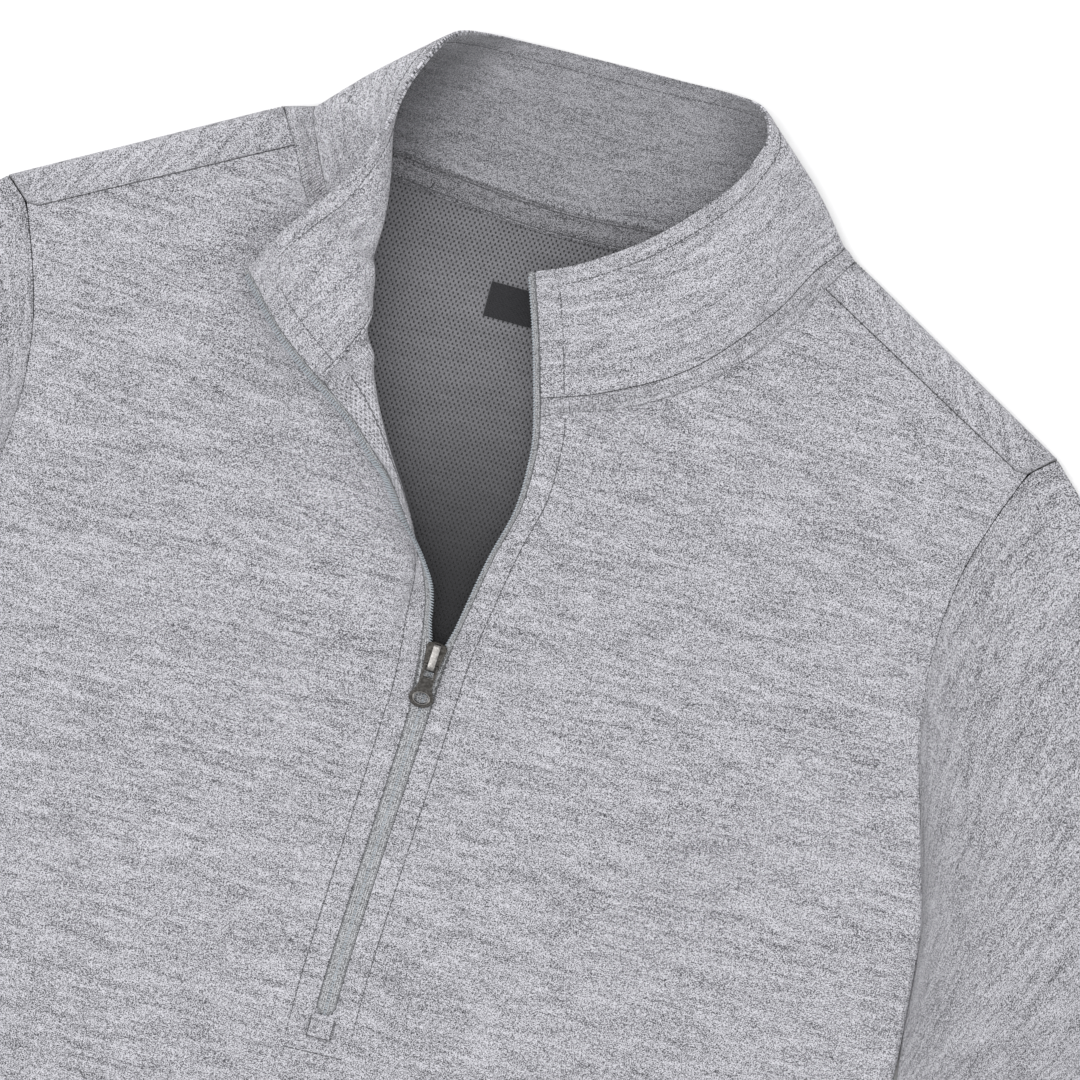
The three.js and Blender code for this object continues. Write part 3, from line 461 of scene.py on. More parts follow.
def neckEdge(n):  # the edge of the body round the neck
    n = np.asarray(n, float)
    one = np.ones_like(n)
    right, left = frontRight(np.clip(n, 0, 1) * neckU, one), frontLeft(np.clip(4 - n, 0, 1) * neckU, one)
    backRight = backHalf(np.clip(2 - n, 0, 1) * neckU, one)
    backLeft = backHalf(np.clip(n - 2, 0, 1) * neckU, one) * mirror
    pick = [(n <= 1)[..., None], (n >= 3)[..., None], (n <= 2)[..., None]]
    return np.select(pick, [right, left, backRight], backLeft)


def outerSeam(n):  # where the binding meets the outer ply
    n = np.asarray(n, float)
    seam, step = collarPoint(n, 0.0), 0.01
    across = collarPoint(np.minimum(n + step, 4), 0.0) - collarPoint(np.maximum(n - step, 0), 0.0)
    along = collarPoint(n, 0.1) - seam
    return seam + unit(np.cross(across, along)) * body["plyApart"]


print("forms ready")


# Every cloth piece is a closed thin shell on a grid of points, with rounded edges.
def gridNormals(grid, ring=False, cut=None):
    following = np.roll(grid, -1, 1) if ring else np.concatenate([grid[:, 1:], grid[:, -1:]], 1)
    last = np.roll(grid, 1, 1) if ring else np.concatenate([grid[:, :1], grid[:, :-1]], 1)
    if cut:
        a, b, row = cut
        following[row:, a], last[row:, b] = grid[row:, a], grid[row:, b]
    up = np.concatenate([grid[1:], grid[-1:]], 0) - np.concatenate([grid[:1], grid[:-1]], 0)
    return unit(np.cross(following - last, up))


def addMesh(name, verts, faces, uvs, materials, faceMaterial=None, shade=None):
    mesh = bpy.data.meshes.new(name)
    placed = (np.asarray(verts, float) + [0, shiftY, 0]) / 1000
    mesh.from_pydata(placed.tolist(), [], [list(map(int, f)) for f in faces])
    for material in materials:
        mesh.materials.append(material)
    if faceMaterial is not None:
        mesh.polygons.foreach_set("material_index", np.asarray(faceMaterial, np.int32))
    loops = np.zeros(len(mesh.loops), np.int32)
    mesh.loops.foreach_get("vertex_index", loops)
    layer = mesh.uv_layers.new(name="cloth")
    layer.data.foreach_set("uv", (np.asarray(uvs, float)[loops] / 1000).astype(np.float32).ravel())
    if shade is not None:
        attribute = mesh.attributes.new("shade", "FLOAT", "POINT")
        attribute.data.foreach_set("value", np.asarray(shade, np.float32))
    mesh.polygons.foreach_set("use_smooth", np.ones(len(mesh.polygons), bool))
    mesh.update()
    made = bpy.data.objects.new(name, mesh)
    bpy.context.scene.collection.objects.link(made)
    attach(made, "sweater")
    return made


def takesPlaceOf(node):
    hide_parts(node)


def shell(name, grid, uv, wall, materials, offset=0.0, ring=False, cut=None, pinch=None, edgeRound=0.4,
          shade=None):
    rows, columns = grid.shape[:2]
    normal = gridNormals(grid, ring, cut)
    half = wall / 2 * (1 - (np.zeros((rows, columns)) if pinch is None else pinch))[..., None]
    index = np.arange(rows * columns).reshape(rows, columns)
    following = np.roll(index, -1, 1)
    cells = np.stack([index[:-1], following[:-1], following[1:], index[1:]], -1)
    cells = cells if ring else cells[:, :-1]
    solid = np.ones(cells.shape[:2], bool)
    if cut:
        solid[cut[2]:, cut[0]:cut[1]] = False
    quads = cells[solid]
    edges = np.concatenate([quads[:, [k, (k + 1) % 4]] for k in range(4)])
    seen = {tuple(e) for e in edges.tolist()}
    rim = np.array([e for e in edges.tolist() if (e[1], e[0]) not in seen])
    flatGrid, flatNormal = grid.reshape(-1, 3), normal.reshape(-1, 3)
    direction = unit(flatGrid[rim[:, 1]] - flatGrid[rim[:, 0]])
    away = np.cross(direction, flatNormal[rim[:, 0]])
    outward = np.zeros_like(flatGrid)
    np.add.at(outward, rim[:, 0], away)
    np.add.at(outward, rim[:, 1], away)
    outward = unit(outward) * (np.linalg.norm(outward, axis=-1) > 1e-6)[:, None]
    flatHalf = half.reshape(-1, 1)
    offset = np.broadcast_to(offset, (rows, columns)).reshape(-1, 1)
    middle = flatGrid + flatNormal * offset - outward * (edgeRound - body["edgeGrow"])
    upper, lower = middle + flatNormal * flatHalf, middle - flatNormal * flatHalf
    count = rows * columns
    rimPoints = np.unique(rim)
    slots = {int(p): i for i, p in enumerate(rimPoints)}
    rounds = [math.pi / 4, math.pi / 2, math.pi * 3 / 4]
    extra = [
        middle[rimPoints] + flatNormal[rimPoints] * flatHalf[rimPoints] * math.cos(a)
        + outward[rimPoints] * edgeRound * math.sin(a) for a in rounds
    ]
    verts = np.concatenate([upper, lower, *extra])
    faces = quads.tolist() + (quads[:, ::-1] + count).tolist()
    kind = [0] * len(quads) + [1 if len(materials) > 1 else 0] * len(quads)
    for p, q in rim.tolist():
        chain = lambda v: [v, *(2 * count + k * len(rimPoints) + slots[v] for k in range(3)), count + v]
        a, b = chain(p), chain(q)
        for k in range(4):
            faces.append([b[k], a[k], a[k + 1], b[k + 1]])
            kind.append(0)
    flatUv = uv.reshape(-1, 2)
    uvs = np.concatenate([flatUv, flatUv, *([flatUv[rimPoints]] * 3)])
    if shade is not None:
        flatShade = shade.reshape(-1)
        shade = np.concatenate([flatShade, flatShade, *([flatShade[rimPoints]] * 3)])
    used = np.zeros(len(verts), bool)
    used[np.concatenate([np.ravel(f) for f in (quads, quads + count)])] = True
    used[2 * count:] = True
    renumber = np.cumsum(used) - 1
    faces = [[int(renumber[v]) for v in f] for f in faces]
    return addMesh(name, verts[used], faces, uvs[used], materials, kind,
                   shade=None if shade is None else shade[used])


# Shader arithmetic on sockets.
class Ink:
    def __init__(self, tree, out=None):
        self.tree, self.out = tree, out

    def node(self, kind, inputs=None, output=0, **settings):
        made = self.tree.nodes.new(kind)
        for key, value in settings.items():
            setattr(made, key, value)
        for key, value in (inputs or {}).items():
            if isinstance(value, Ink):
                self.tree.links.new(value.out, made.inputs[key])
            else:
                made.inputs[key].default_value = value
        return Ink(self.tree, made.outputs[output])

    def math(self, operation, other=0.0):
        return self.node("ShaderNodeMath", {0: self, 1: other}, operation=operation)

    def __add__(self, other):
        return self.math("ADD", other)

    def __sub__(self, other):
        return self.math("SUBTRACT", other)

    def __mul__(self, other):
        return self.math("MULTIPLY", other)

    __radd__, __rmul__ = __add__, __mul__

    def sin(self):
        return self.math("SINE")

    def clamp(self, low, high):
        return self.node("ShaderNodeMapRange", {0: self, 1: low, 2: high, 3: 0.0, 4: 1.0},
                         interpolation_type="SMOOTHSTEP")

    def noise(self, u, v, scaleU, scaleV, detail=2.0, seed=0.0, rough=0.5):
        place = self.node("ShaderNodeCombineXYZ", {0: u * scaleU, 1: v * scaleV, 2: seed})
        return self.node("ShaderNodeTexNoise", {"Vector": place, "Scale": 1.0, "Detail": detail,
                                                "Roughness": rough}, "Fac")

    def blend(self, amount, first, second):
        return self.node("ShaderNodeMix", {0: amount, 6: first, 7: second}, 2, data_type="RGBA")

    def edge(self, color, paintedShadeColor):  # painted shade: darker where the mesh's shade attribute says so
        shade = self.node("ShaderNodeAttribute", output="Fac", attribute_name="shade")
        return self.blend(shade, color, paintedShadeColor)


def newMaterial(name, roughness, sheen=0.0, metallic=0.0, specular=0.3):
    material = bpy.data.materials.new(name)
    material.use_nodes = True
    tree = material.node_tree
    surface = tree.nodes["Principled BSDF"]
    surface.inputs["Roughness"].default_value = roughness
    surface.inputs["Metallic"].default_value = metallic
    surface.inputs["Specular IOR Level"].default_value = specular
    surface.inputs["Sheen Weight"].default_value = sheen
    surface.inputs["Sheen Roughness"].default_value = 0.6
    ink = Ink(tree)
    uv = ink.node("ShaderNodeUVMap", output="UV", uv_map="cloth")
    split = tree.nodes.new("ShaderNodeSeparateXYZ")
    tree.links.new(uv.out, split.inputs[0])
    u, v = (Ink(tree, split.outputs[k]) * 1000.0 for k in (0, 1))
    return material, surface, ink, u, v


def finishMaterial(surface, ink, color, height, distance):
    bump = ink.node("ShaderNodeBump", {"Height": height, "Distance": distance}, "Normal")
    ink.tree.links.new(color.out, surface.inputs["Base Color"])
    ink.tree.links.new(bump.out, surface.inputs["Normal"])


heatherLook = {
    "dark": (0.029, 0.0295, 0.035, 1), "light": (0.598, 0.594, 0.637, 1), "roughness": 0.92, "sheen": 0.12,
    "wale": 1.15, "course": 0.95, "bump": 0.00025, "holeU": 2.18, "holeV": 3.3, "level": 0.55,
    # scales across and along the cloth, detail, seed and roughness of each layer
    "grain": (2.2, 2.5, 1.0, 1.7, 0.7), "fibre": (0.35, 1.7, 2.0, 5.1, 0.6),
    "streak": (0.06, 0.42, 3.0, 9.3, 0.6), "cloud": (0.02, 0.05, 2.0, 13.9, 0.5),
    "wander": (0.5, 0.5, 2.0, 71.0, 0.5),
    # strength of each layer on plain cloth, and what an open mesh takes off it
    "strength": {"grain": (3.95, 2.85), "fibre": (0.5, 0.3), "streak": (0.95, 0.6)},
}


def heather(name, look, tone=1.0, mesh=0.0, rib=0.0, seed=0.0, depth=None):
    material, surface, ink, u, v = newMaterial(name, look["roughness"], look["sheen"])

    def layer(key):
        scaleU, scaleV, detail, ownSeed, rough = look[key]
        return ink.noise(u, v, scaleU, scaleV, detail, seed + ownSeed, rough)

    def strength(key):
        plain, less = look["strength"][key]
        return plain - less * mesh

    grain, fibre, streak, cloud = (layer(key) for key in ("grain", "fibre", "streak", "cloud"))
    amount = ((grain - 0.5) * strength("grain") + (fibre - 0.5) * strength("fibre")
              + (streak - 0.5) * strength("streak") + (cloud - 0.5) * 0.24 + look["level"])
    turn = 2 * math.pi
    courses = (v * (turn / look["course"]) + (u * (turn / look["wale"])).sin() * 1.1).sin()
    wales = (u * (turn / look["wale"])).sin()
    stitch = courses * 0.6 + wales * 0.4
    height = stitch * (1 - min(mesh, 1)) * 0.5 + (grain - 0.5) * (1.4 - mesh) + (fibre - 0.5) * 0.8
    amount = amount + stitch * (0.035 * (1 - mesh))
    if rib:
        ribs = (u * (turn / rib)).sin()
        height = height + ribs * 1.1
        amount = amount + ribs * 0.05
    if mesh:
        wander = (layer("wander") - 0.5) * 0.7
        a = (u * (turn / look["holeU"]) + wander).math("COSINE")
        b = (v * (turn / look["holeV"]) + wander).math("COSINE")
        holes = (a * b).clamp(0.3, 0.85)
        amount = amount - holes * (0.66 * mesh) + 0.19 * mesh
        height = height - holes * 2.5
    dark, light = (tuple(c * tone for c in look[key][:3]) + (1,) for key in ("dark", "light"))
    color = ink.blend(amount.math("MAXIMUM", 0.0), dark, light)
    # Painted shade: the colour blends towards the depth colour where the mesh's shade attribute is high.
    if depth:
        color = ink.edge(color, depth)
    finishMaterial(surface, ink, color, height, look["bump"])
    return material


def plainCloth(name, color, second, ridge, pitch, roughness=0.8, amount=0.3, grain=0.9, edge=None):
    material, surface, ink, u, v = newMaterial(name, roughness, 0.05)
    turn = 2 * math.pi
    lines = (u * (turn / pitch)).sin()
    weave = (v * (turn / 0.8)).sin()
    speckle = ink.noise(u, v, 1.7, 1.7, 1.0, 3.3)
    value = lines * amount + weave * 0.12 + (speckle - 0.5) * grain + 0.5
    color = ink.blend(value.clamp(0.0, 1.0), color, second)
    # Painted shade: the colour blends towards the edge colour where the mesh's shade attribute is high.
    if edge:
        color = ink.edge(color, edge)
    finishMaterial(surface, ink, color, lines + weave * 0.3 + speckle, ridge)
    return material


def metal(name, color, second, roughness):
    material, surface, ink = newMaterial(name, roughness, 0.0, 1.0, 0.5)[:3]
    place = ink.node("ShaderNodeTexCoord", output="Object")
    cloud = ink.node("ShaderNodeTexNoise", {"Vector": place, "Scale": 900.0, "Detail": 3.0}, "Fac")
    finishMaterial(surface, ink, ink.blend(cloud.clamp(0.35, 0.75), color, second), cloud, 0.00003)
    return material


looks = {
    "knit": heather("knit", heatherLook),
    # The collar's knit is a copy 3% lighter: painted light on the collar.
    "collarKnitPaintedLight": heather("collarKnitPaintedLight", heatherLook, 1.03, seed=40.0),
    # The sleeves' knit is a copy 6% darker: painted shade on the sleeves.
    "sleeveKnitPaintedShade": heather("sleeveKnitPaintedShade", heatherLook, 0.94, seed=110.0),
    "inside": heather("inside", heatherLook, 1.0, mesh=0.45, seed=20.0),
    # The inside of the back: the open mesh in a copy at 35% tone, which is painted shade, blending further to
    # the depth colour, more painted shade, where the mesh's shade attribute says so.
    "inBackPaintedShade": heather("inBackPaintedShade", heatherLook, 0.35, mesh=1.0, seed=60.0, depth=(0.012, 0.012, 0.013, 1)),
    # The facing's depth colour is painted shade, laid on where the collar's shade values say so.
    "facing": heather("facing", heatherLook, 1.0, seed=80.0, depth=(0.06, 0.062, 0.067, 1)),
    # The binding is a copy 12% lighter, with ribs: painted light on the strip.
    "binding": heather("binding", heatherLook, 1.12, rib=1.3, seed=30.0),
    # The neck tape is the knit at half tone: painted shade inside the back.
    "innerTapePaintedShade": heather("innerTapePaintedShade", heatherLook, 0.5, seed=50.0),
    # The tape's edge colour is painted shade along the cloth's edge and the closed foot.
    "tape": plainCloth("tape", (0.1, 0.102, 0.108, 1), (0.64, 0.65, 0.675, 1), 0.00025, 1.15, amount=0.12,
                       grain=1.9, edge=(0.035, 0.036, 0.04, 1)),
    "coil": plainCloth("coil", (0.2, 0.225, 0.25, 1), (0.4, 0.44, 0.48, 1), 0.0001, 1.0, roughness=0.4),
    "label": plainCloth("label", (0.012, 0.012, 0.014, 1), (0.03, 0.03, 0.034, 1), 0.0001, 0.6,
                        roughness=0.6),
    "thread": plainCloth("thread", (0.045, 0.045, 0.05, 1), (0.13, 0.13, 0.14, 1), 0.0001, 0.5),
    "metal": metal("metal", (0.055, 0.052, 0.049, 1), (0.115, 0.11, 0.105, 1), 0.26),
    # A lighter copy of the metal: painted highlight on the slider's bridge and the eyelet's lip.
    "metalPaintedHighlight": metal("metalPaintedHighlight", (0.2, 0.192, 0.185, 1), (0.34, 0.33, 0.32, 1), 0.26),
    # A darker copy of the metal: painted shade on the slider's plates and wedge.
    "metalPaintedShade": metal("metalPaintedShade", (0.035, 0.033, 0.03, 1), (0.09, 0.085, 0.08, 1), 0.4),
}
print("materials ready")


def spread(*runs):  # values from pairs of (end, count), each run following the last one
    values = [runs[0][0]]
    for end, count in runs[1:]:
        values += np.linspace(values[-1], end, count + 1)[1:].tolist()
    return np.array(values)


# Front panel: columns from the side on -x over the slit to the side on +x.
frontSizes = {"stitchAt": 9.6, "width": 240.0}
halfU = spread((0, 0), (0.033, 6), (0.046, 10), (0.32, 40), (neckU, 12), (1.0, 22), (2.0, 7))
frontV = spread((0, 0), (0.5, 22), (0.5479, 12), (0.72, 34), (0.985, 110), (1.0, 8))
footRow = 34
footFill = 9


def frontGrids():
    leftU, v = np.meshgrid(halfU[::-1], frontV)
    leftFlat, leftPattern = frontHalf(leftEdges, leftU, v, -1)
    left = turnedOut(leftFlat * mirror)
    rightU, v2 = np.meshgrid(halfU, frontV)
    right, rightPattern = frontHalf(rightEdges, rightU, v2, 1)
    steps = np.linspace(0, 1, footFill + 2)[1:-1]
    between = left[:, -1:] * (1 - steps)[None, :, None] + right[:, :1] * steps[None, :, None]
    sag = -body["footSag"] * (1 - np.abs(2 * steps - 1) ** body["footPower"])
    fade = np.exp(-np.abs(between[:, :1, 1] - body["zipFootY"]) / body["footReach"])
    between[..., 1] += fade * sag * (frontV <= frontV[footRow] + 1e-6)[:, None]
    grid = np.concatenate([left, between, right], 1)
    leftUv = leftPattern * [-1, 1]
    uv = np.concatenate([leftUv, between[..., :2], rightPattern], 1)
    lineAt = lambda u, pattern, edge: np.abs(np.abs(pattern[..., 0] - edge[:, None]) - frontSizes["stitchAt"])
    y = mix(hemY, body["neckY"], frontV)
    leftD = lineAt(leftU, leftUv, through(slit, "y", "left", y))
    rightD = lineAt(rightU, rightPattern, through(slit, "y", "right", y))
    above = smooth(0.5, 0.55, frontV)[:, None]
    pinch = np.concatenate([groove(leftD) * above, np.zeros(between.shape[:2]), groove(rightD) * above], 1)
    return grid, uv, pinch


grid, uv, pinch = frontGrids()
cutFrom = len(halfU) - 1
frontPiece = shell("front_cloth", grid, uv, body["wall"], [looks["knit"], looks["inside"]],
                   cut=(cutFrom, cutFrom + footFill + 1, footRow), pinch=pinch)
takesPlaceOf("front")
print("front", len(frontPiece.data.polygons))

# Back panel, over the shoulders to the seams on the front.
backU = spread((0, 0), (0.55, 34), (1.0, 26), (2.0, 6))
backV = spread((0, 0), (0.9, 44), (1.0, 56))


def backGrid():
    u, v = np.meshgrid(backU, backV)
    right = backHalf(u, v)
    pattern = backFlat(u, v)[2]
    grid = np.concatenate([(right * mirror)[:, :0:-1], right], 1)
    uv = np.concatenate([(pattern * [-1, 1])[:, :0:-1], pattern], 1)
    return grid, uv


grid, uv = backGrid()
# Painted shade inside the back: darker along the centre line, fully from y -125 down, fading out by y 10.
paintedBackShade = np.exp(-((grid[..., 0] + 2) / 60) ** 2) * (1 - smooth(-125, 10, grid[..., 1])) * 0.88
backPiece = shell("back_cloth", grid, uv, body["solidWall"], [looks["inBackPaintedShade"], looks["knit"]], shade=paintedBackShade)
takesPlaceOf("back")
print("back", len(backPiece.data.polygons))

# Sleeves: flattened tubes from the armhole to the cuff.
sleeveSizes = {"around": 64, "swellPower": 0.4}


def sleeveGrid():
    middle, fold = body["backMiddle"], body["foldRadius"]
    topEdge = frontRight(np.full(30, 2.0), np.linspace(1, 0.69, 30))
    under = backHalf(np.full(60, 2.0), np.linspace(0.665, 1, 60))
    turn = int(np.argmax(under[:, 2] > middle + fold))
    foldPoint = (under[turn - 1:turn] + under[turn:turn + 1]) / 2
    over = np.concatenate([foldPoint, under[turn:], topEdge])
    below = np.concatenate([foldPoint, under[:turn][::-1]])

    def along(line, w):
        rows = measured({"x": line[:, 0], "y": line[:, 1], "z": line[:, 2]})
        return at3(rows, "w", w)

    angle = 2 * math.pi * np.arange(sleeveSizes["around"]) / sleeveSizes["around"]
    w = (1 - np.cos(angle)) / 2
    top = (np.sin(angle) >= -1e-9)[:, None]
    edge = np.where(top, along(over, w), along(below, w))
    rows, uvs, run = [], [], 0.0
    lastMiddle = None
    for t in spread((0.0015, 0), (0.1, 14), (0.4, 26), (1.0, 38)):
        at = lambda key: float(through(sleeveRows, "t", key, t))
        tuck = body["sleeveTuck"] * float(smooth(0, 0.05, t))
        outer = np.array([at("outerX"), at("outerY")])
        inner = np.array([at("innerX") + tuck, at("innerY")])
        outer0, inner0 = np.array(body["sleeveTip"]), np.array(body["armpit"])
        shape, rise = 1 - smooth(0, 0.4, t), smooth(0, 0.1, t)
        loft = (at("height") - body["solidWall"]) / 2
        straight = outer + (inner - outer) * w[:, None]
        start = outer0 + (inner0 - outer0) * w[:, None]
        plan = straight + (edge[:, :2] - start) * shape
        power = sleeveSizes["swellPower"] + 0.5 * smooth(0.5, 1, w) * (1 - smooth(0.5, 0.9, t))
        swell = np.sign(np.sin(angle)) * np.abs(np.sin(angle)) ** power
        z = mix(edge[:, 2], middle + loft * (1 + swell), rise)
        centre = (outer + inner) / 2
        run += 0 if lastMiddle is None else float(np.linalg.norm(centre - lastMiddle))
        lastMiddle = centre
        rows.append(points(plan[:, 0], plan[:, 1], z))
        width = np.linalg.norm(outer - inner)
        across = np.where(top[:, 0], w, -w) * width
        uvs.append(np.stack([across, np.full(len(w), -run)], -1))
    return np.array(rows), np.array(uvs)


grid, uv = sleeveGrid()
for name, node, sign in (("sleeve_left_cloth", "sleeve_left", 1), ("sleeve_right_cloth", "sleeve_right", -1)):
    turned = grid if sign > 0 else (grid * mirror)[:, ::-1]
    turnedUv = uv if sign > 0 else uv[:, ::-1]
    faces = [looks["sleeveKnitPaintedShade"], looks["inside"]]
    piece = shell(name, turned, turnedUv, body["solidWall"], faces, ring=True)
    takesPlaceOf(node)
print("sleeves")

# Collar: two plies from the neck seam to the top edge.
collarSizes = {
    "stations": 300, "topLine": 7.0, "endLine": 10.0, "shadow": 0.4, "closing": 0.26, "footDrop": 0.45,
    "facingLonger": 0.9,
}
collarN = np.linspace(0, 4, collarSizes["stations"] + 1)
collarW = spread((0.004, 0), (0.1, 5), (0.8, 16), (0.94, 10), (1.0, 4))


def collarGrid():
    n, w = np.meshgrid(collarN, collarW)
    grid = collarPoint(n, w)
    tall = np.cumsum(np.linalg.norm(np.diff(grid, axis=0), axis=-1), 0)
    tall = np.concatenate([np.zeros((1, tall.shape[1])), tall])
    wide = np.cumsum(np.linalg.norm(np.diff(grid, axis=1), axis=-1), 1)
    wide = np.concatenate([np.zeros((wide.shape[0], 1)), wide], 1)
    fromTop, fromEnd = tall[-1:] - tall, np.minimum(wide, wide[:, -1:] - wide)
    uv = np.stack([np.broadcast_to(wide[:1], tall.shape), tall], -1)
    top, end = collarSizes["topLine"], collarSizes["endLine"]
    pinch = groove(fromTop - top) * smooth(end - 0.8, end + 0.2, fromEnd)
    pinch += groove(fromEnd - end) * smooth(top - 0.8, top + 0.2, fromTop)
    return grid, uv, np.minimum(pinch, 0.55)


grid, uv, pinch = collarGrid()
# Painted shade for the facing: darker from the +x shoulder round the back, most at n 2.62 and 1.32, where the
# standing collar keeps light off.
inner = (1 - smooth(2.75, 3.25, collarN)) * smooth(0.1, 0.9, collarN)
inner = inner + 0.75 * np.exp(-((collarN - 2.62) / 0.14) ** 2) + 0.4 * np.exp(-((collarN - 1.32) / 0.13) ** 2)
inner = np.broadcast_to(inner, grid.shape[:2])
near = (1 - smooth(0, 0.14, collarW))[:, None]  # the facing's foot lies down onto the binding
closing = collarSizes["closing"] * smooth(0.94, 0.99, collarW)[:, None]  # the plies meet along the top
plies = (("collar_outer", "collar", 1, "collarKnitPaintedLight"), ("collar_inner", "collar_facing", -1, "facing"))
for name, node, sign, look in plies:
    apart = sign * (body["plyApart"] - closing) + (near * collarSizes["footDrop"] if sign < 0 else 0 * near)
    placed = grid.copy()
    if sign < 0:
        placed[0] += unit(grid[0] - grid[1]) * collarSizes["facingLonger"]
    piece = shell(name, placed, uv, body["collarWall"], [looks[look]], offset=apart, pinch=pinch,
                  shade=inner * collarSizes["shadow"])
    takesPlaceOf(node)
print("collar")

# Binding strip between the collar and the body.
bindingW = spread((0, 0), (0.12, 2), (0.88, 5), (1.0, 2))


def bindingGrid():
    n, w = np.meshgrid(collarN, bindingW)
    seam, edge = outerSeam(n), neckEdge(n)
    wide = np.linalg.norm(seam - edge, axis=-1, keepdims=True)
    gap = 0.14 / wide
    grid = edge + (seam - edge) * mix(gap, 1 - gap, w[..., None])
    grid += gridNormals(grid) * (0.35 * np.sin(math.pi * w))[..., None]
    return grid, np.stack([np.broadcast_to(runAlong(grid[2]), w.shape), w * wide[..., 0]], -1)


grid, uv = bindingGrid()
bindingPiece = shell("neck_binding_rib", grid, uv, body["wall"], [looks["binding"]])
takesPlaceOf("neck_binding")
bindingNormals = gridNormals(grid)
seamLift = 0.42
bindingSeams = [(grid[k] + bindingNormals[k] * seamLift, bindingNormals[k]) for k in (0, -1)]

# Tape over the back neck seam, and the blank label under it.
neckTape = {"width": 12.0, "from": 1.5, "to": 2.6, "line": 1.6, "below": 0.8}
onBack = body["solidWall"] + body["seamGap"] + 0.5


def neckTapeGrid():
    n, w = np.meshgrid(np.linspace(neckTape["to"], neckTape["from"], 90),
                       spread((1, 0), (0.8, 4), (0.2, 6), (0, 4)))
    seam = collarPoint(n, 0.0)
    grid = points(seam[..., 0], seam[..., 1] - neckTape["below"] - neckTape["width"] * w, onBack)
    down, last = w * neckTape["width"], neckTape["width"] - neckTape["line"]
    pinch = groove(down - neckTape["line"]) + groove(down - last)
    return grid, np.stack([grid[..., 0], down], -1), pinch


grid, uv, pinch = neckTapeGrid()
neckTapePiece = shell("neck_tape_cloth", grid, uv, body["tapeWall"], [looks["innerTapePaintedShade"]], pinch=pinch)
takesPlaceOf("neck_tape")

label = {"x": -3.0, "y": 6.5, "width": 36.0, "height": 15.0, "wall": 0.5}
x, y = np.meshgrid(label["x"] + label["width"] * np.linspace(-0.5, 0.5, 19),
                   label["y"] + label["height"] * np.linspace(-0.5, 0.5, 9))
z = onBack - 0.1 + 0.15 * np.sin(x / 6)
labelPiece = shell("label_woven", points(x, y, z), np.stack([x, y], -1), label["wall"], [looks["label"]],
                   edgeRound=0.2)
takesPlaceOf("label")
print("neck pieces")

# Zip tapes, closed below the slider and open above it.
zipSizes = {
    "gap": 0.1, "shown": 3.0, "closedFrom": -310.2, "closedTo": -152.0, "openV": 0.833, "pitch": 1.25,
    "clothWidth": 4.6, "onCollar": 40, "closedRows": 60, "openRows": 70,
}


def tapeGrid(key, sign, surface, n, nextN):
    other = "left" if key == "right" else "right"
    y = np.linspace(zipSizes["closedFrom"], zipSizes["closedTo"], zipSizes["closedRows"])
    cloth = surface(0 * y, (y - hemY) / (body["neckY"] - hemY))
    centre = (through(slit, "y", key, y) + through(slit, "y", other, y)) / 2
    w = np.array([0, 0.12, 0.24, 0.36, 0.55, 0.75, 0.92, 1])
    start, end = (cloth[:, 0] - sign * 0.1)[:, None], (centre + sign * 0.04)[:, None]
    z = mix(cloth[:, 2:], through(slit, "y", "z", y)[:, None], w)
    foot = 1 - smooth(0, body["footReach"], y - y[0])  # the closed end is round
    level = y[:, None] + body["footSag"] * foot[:, None] * (1 - w) ** body["footPower"]
    closed = points(mix(start, end, w), level, z - 0.2 + 0.25 * smooth(0.5, 1, w))
    v = np.linspace(zipSizes["openV"], 1, zipSizes["openRows"])
    edge, inside = surface(0 * v, v), surface(0 * v + 0.02, v)
    onCollar = np.linspace(0.06, 1, zipSizes["onCollar"])
    edge = np.concatenate([edge, collarPoint(0 * onCollar + n, onCollar)])
    inside = np.concatenate([inside, collarPoint(0 * onCollar + nextN, onCollar)])
    out = unit(edge - inside)
    reach = mix(zipSizes["gap"], zipSizes["shown"], w)
    opened = edge[:, None] + out[:, None] * reach[None, :, None]
    grid = np.concatenate([closed, opened])
    for _ in range(3):  # eases the bends between the runs
        grid[1:-1] = grid[1:-1] * 0.5 + (grid[2:] + grid[:-2]) * 0.25
    uv = np.stack(np.broadcast_arrays(w[None] * zipSizes["clothWidth"], runAlong(grid[:, 4])[:, None]), -1)
    pinch = np.broadcast_to(np.array([0.7, 0.75, 0.3, 0, 0, 0, 0.1, 0.25]), grid.shape[:2])
    if sign > 0:
        grid, uv, pinch = grid[:, ::-1], uv[:, ::-1], pinch[:, ::-1]
    return grid, uv, pinch


def tube(line, frameUp, radius, sides):  # tubes along many short lines of points (many, along, 3)
    along = unit(np.gradient(line, axis=1))
    side = unit(np.cross(frameUp, along))
    up = np.cross(along, side)
    angle = 2 * math.pi * np.arange(sides) / sides
    turned = side[:, :, None] * np.cos(angle)[:, None] + up[:, :, None] * np.sin(angle)[:, None]
    ring = line[:, :, None] + radius * turned
    many, steps = line.shape[:2]
    index = np.arange(many * steps * sides).reshape(many, steps, sides)
    following = np.roll(index, -1, 2)
    quads = np.stack([index[:, :-1], following[:, :-1], following[:, 1:], index[:, 1:]], -1).reshape(-1, 4)
    caps = np.concatenate([index[:, 0, ::-1], index[:, -1]])
    return ring.reshape(-1, 3), quads.tolist() + caps.tolist()


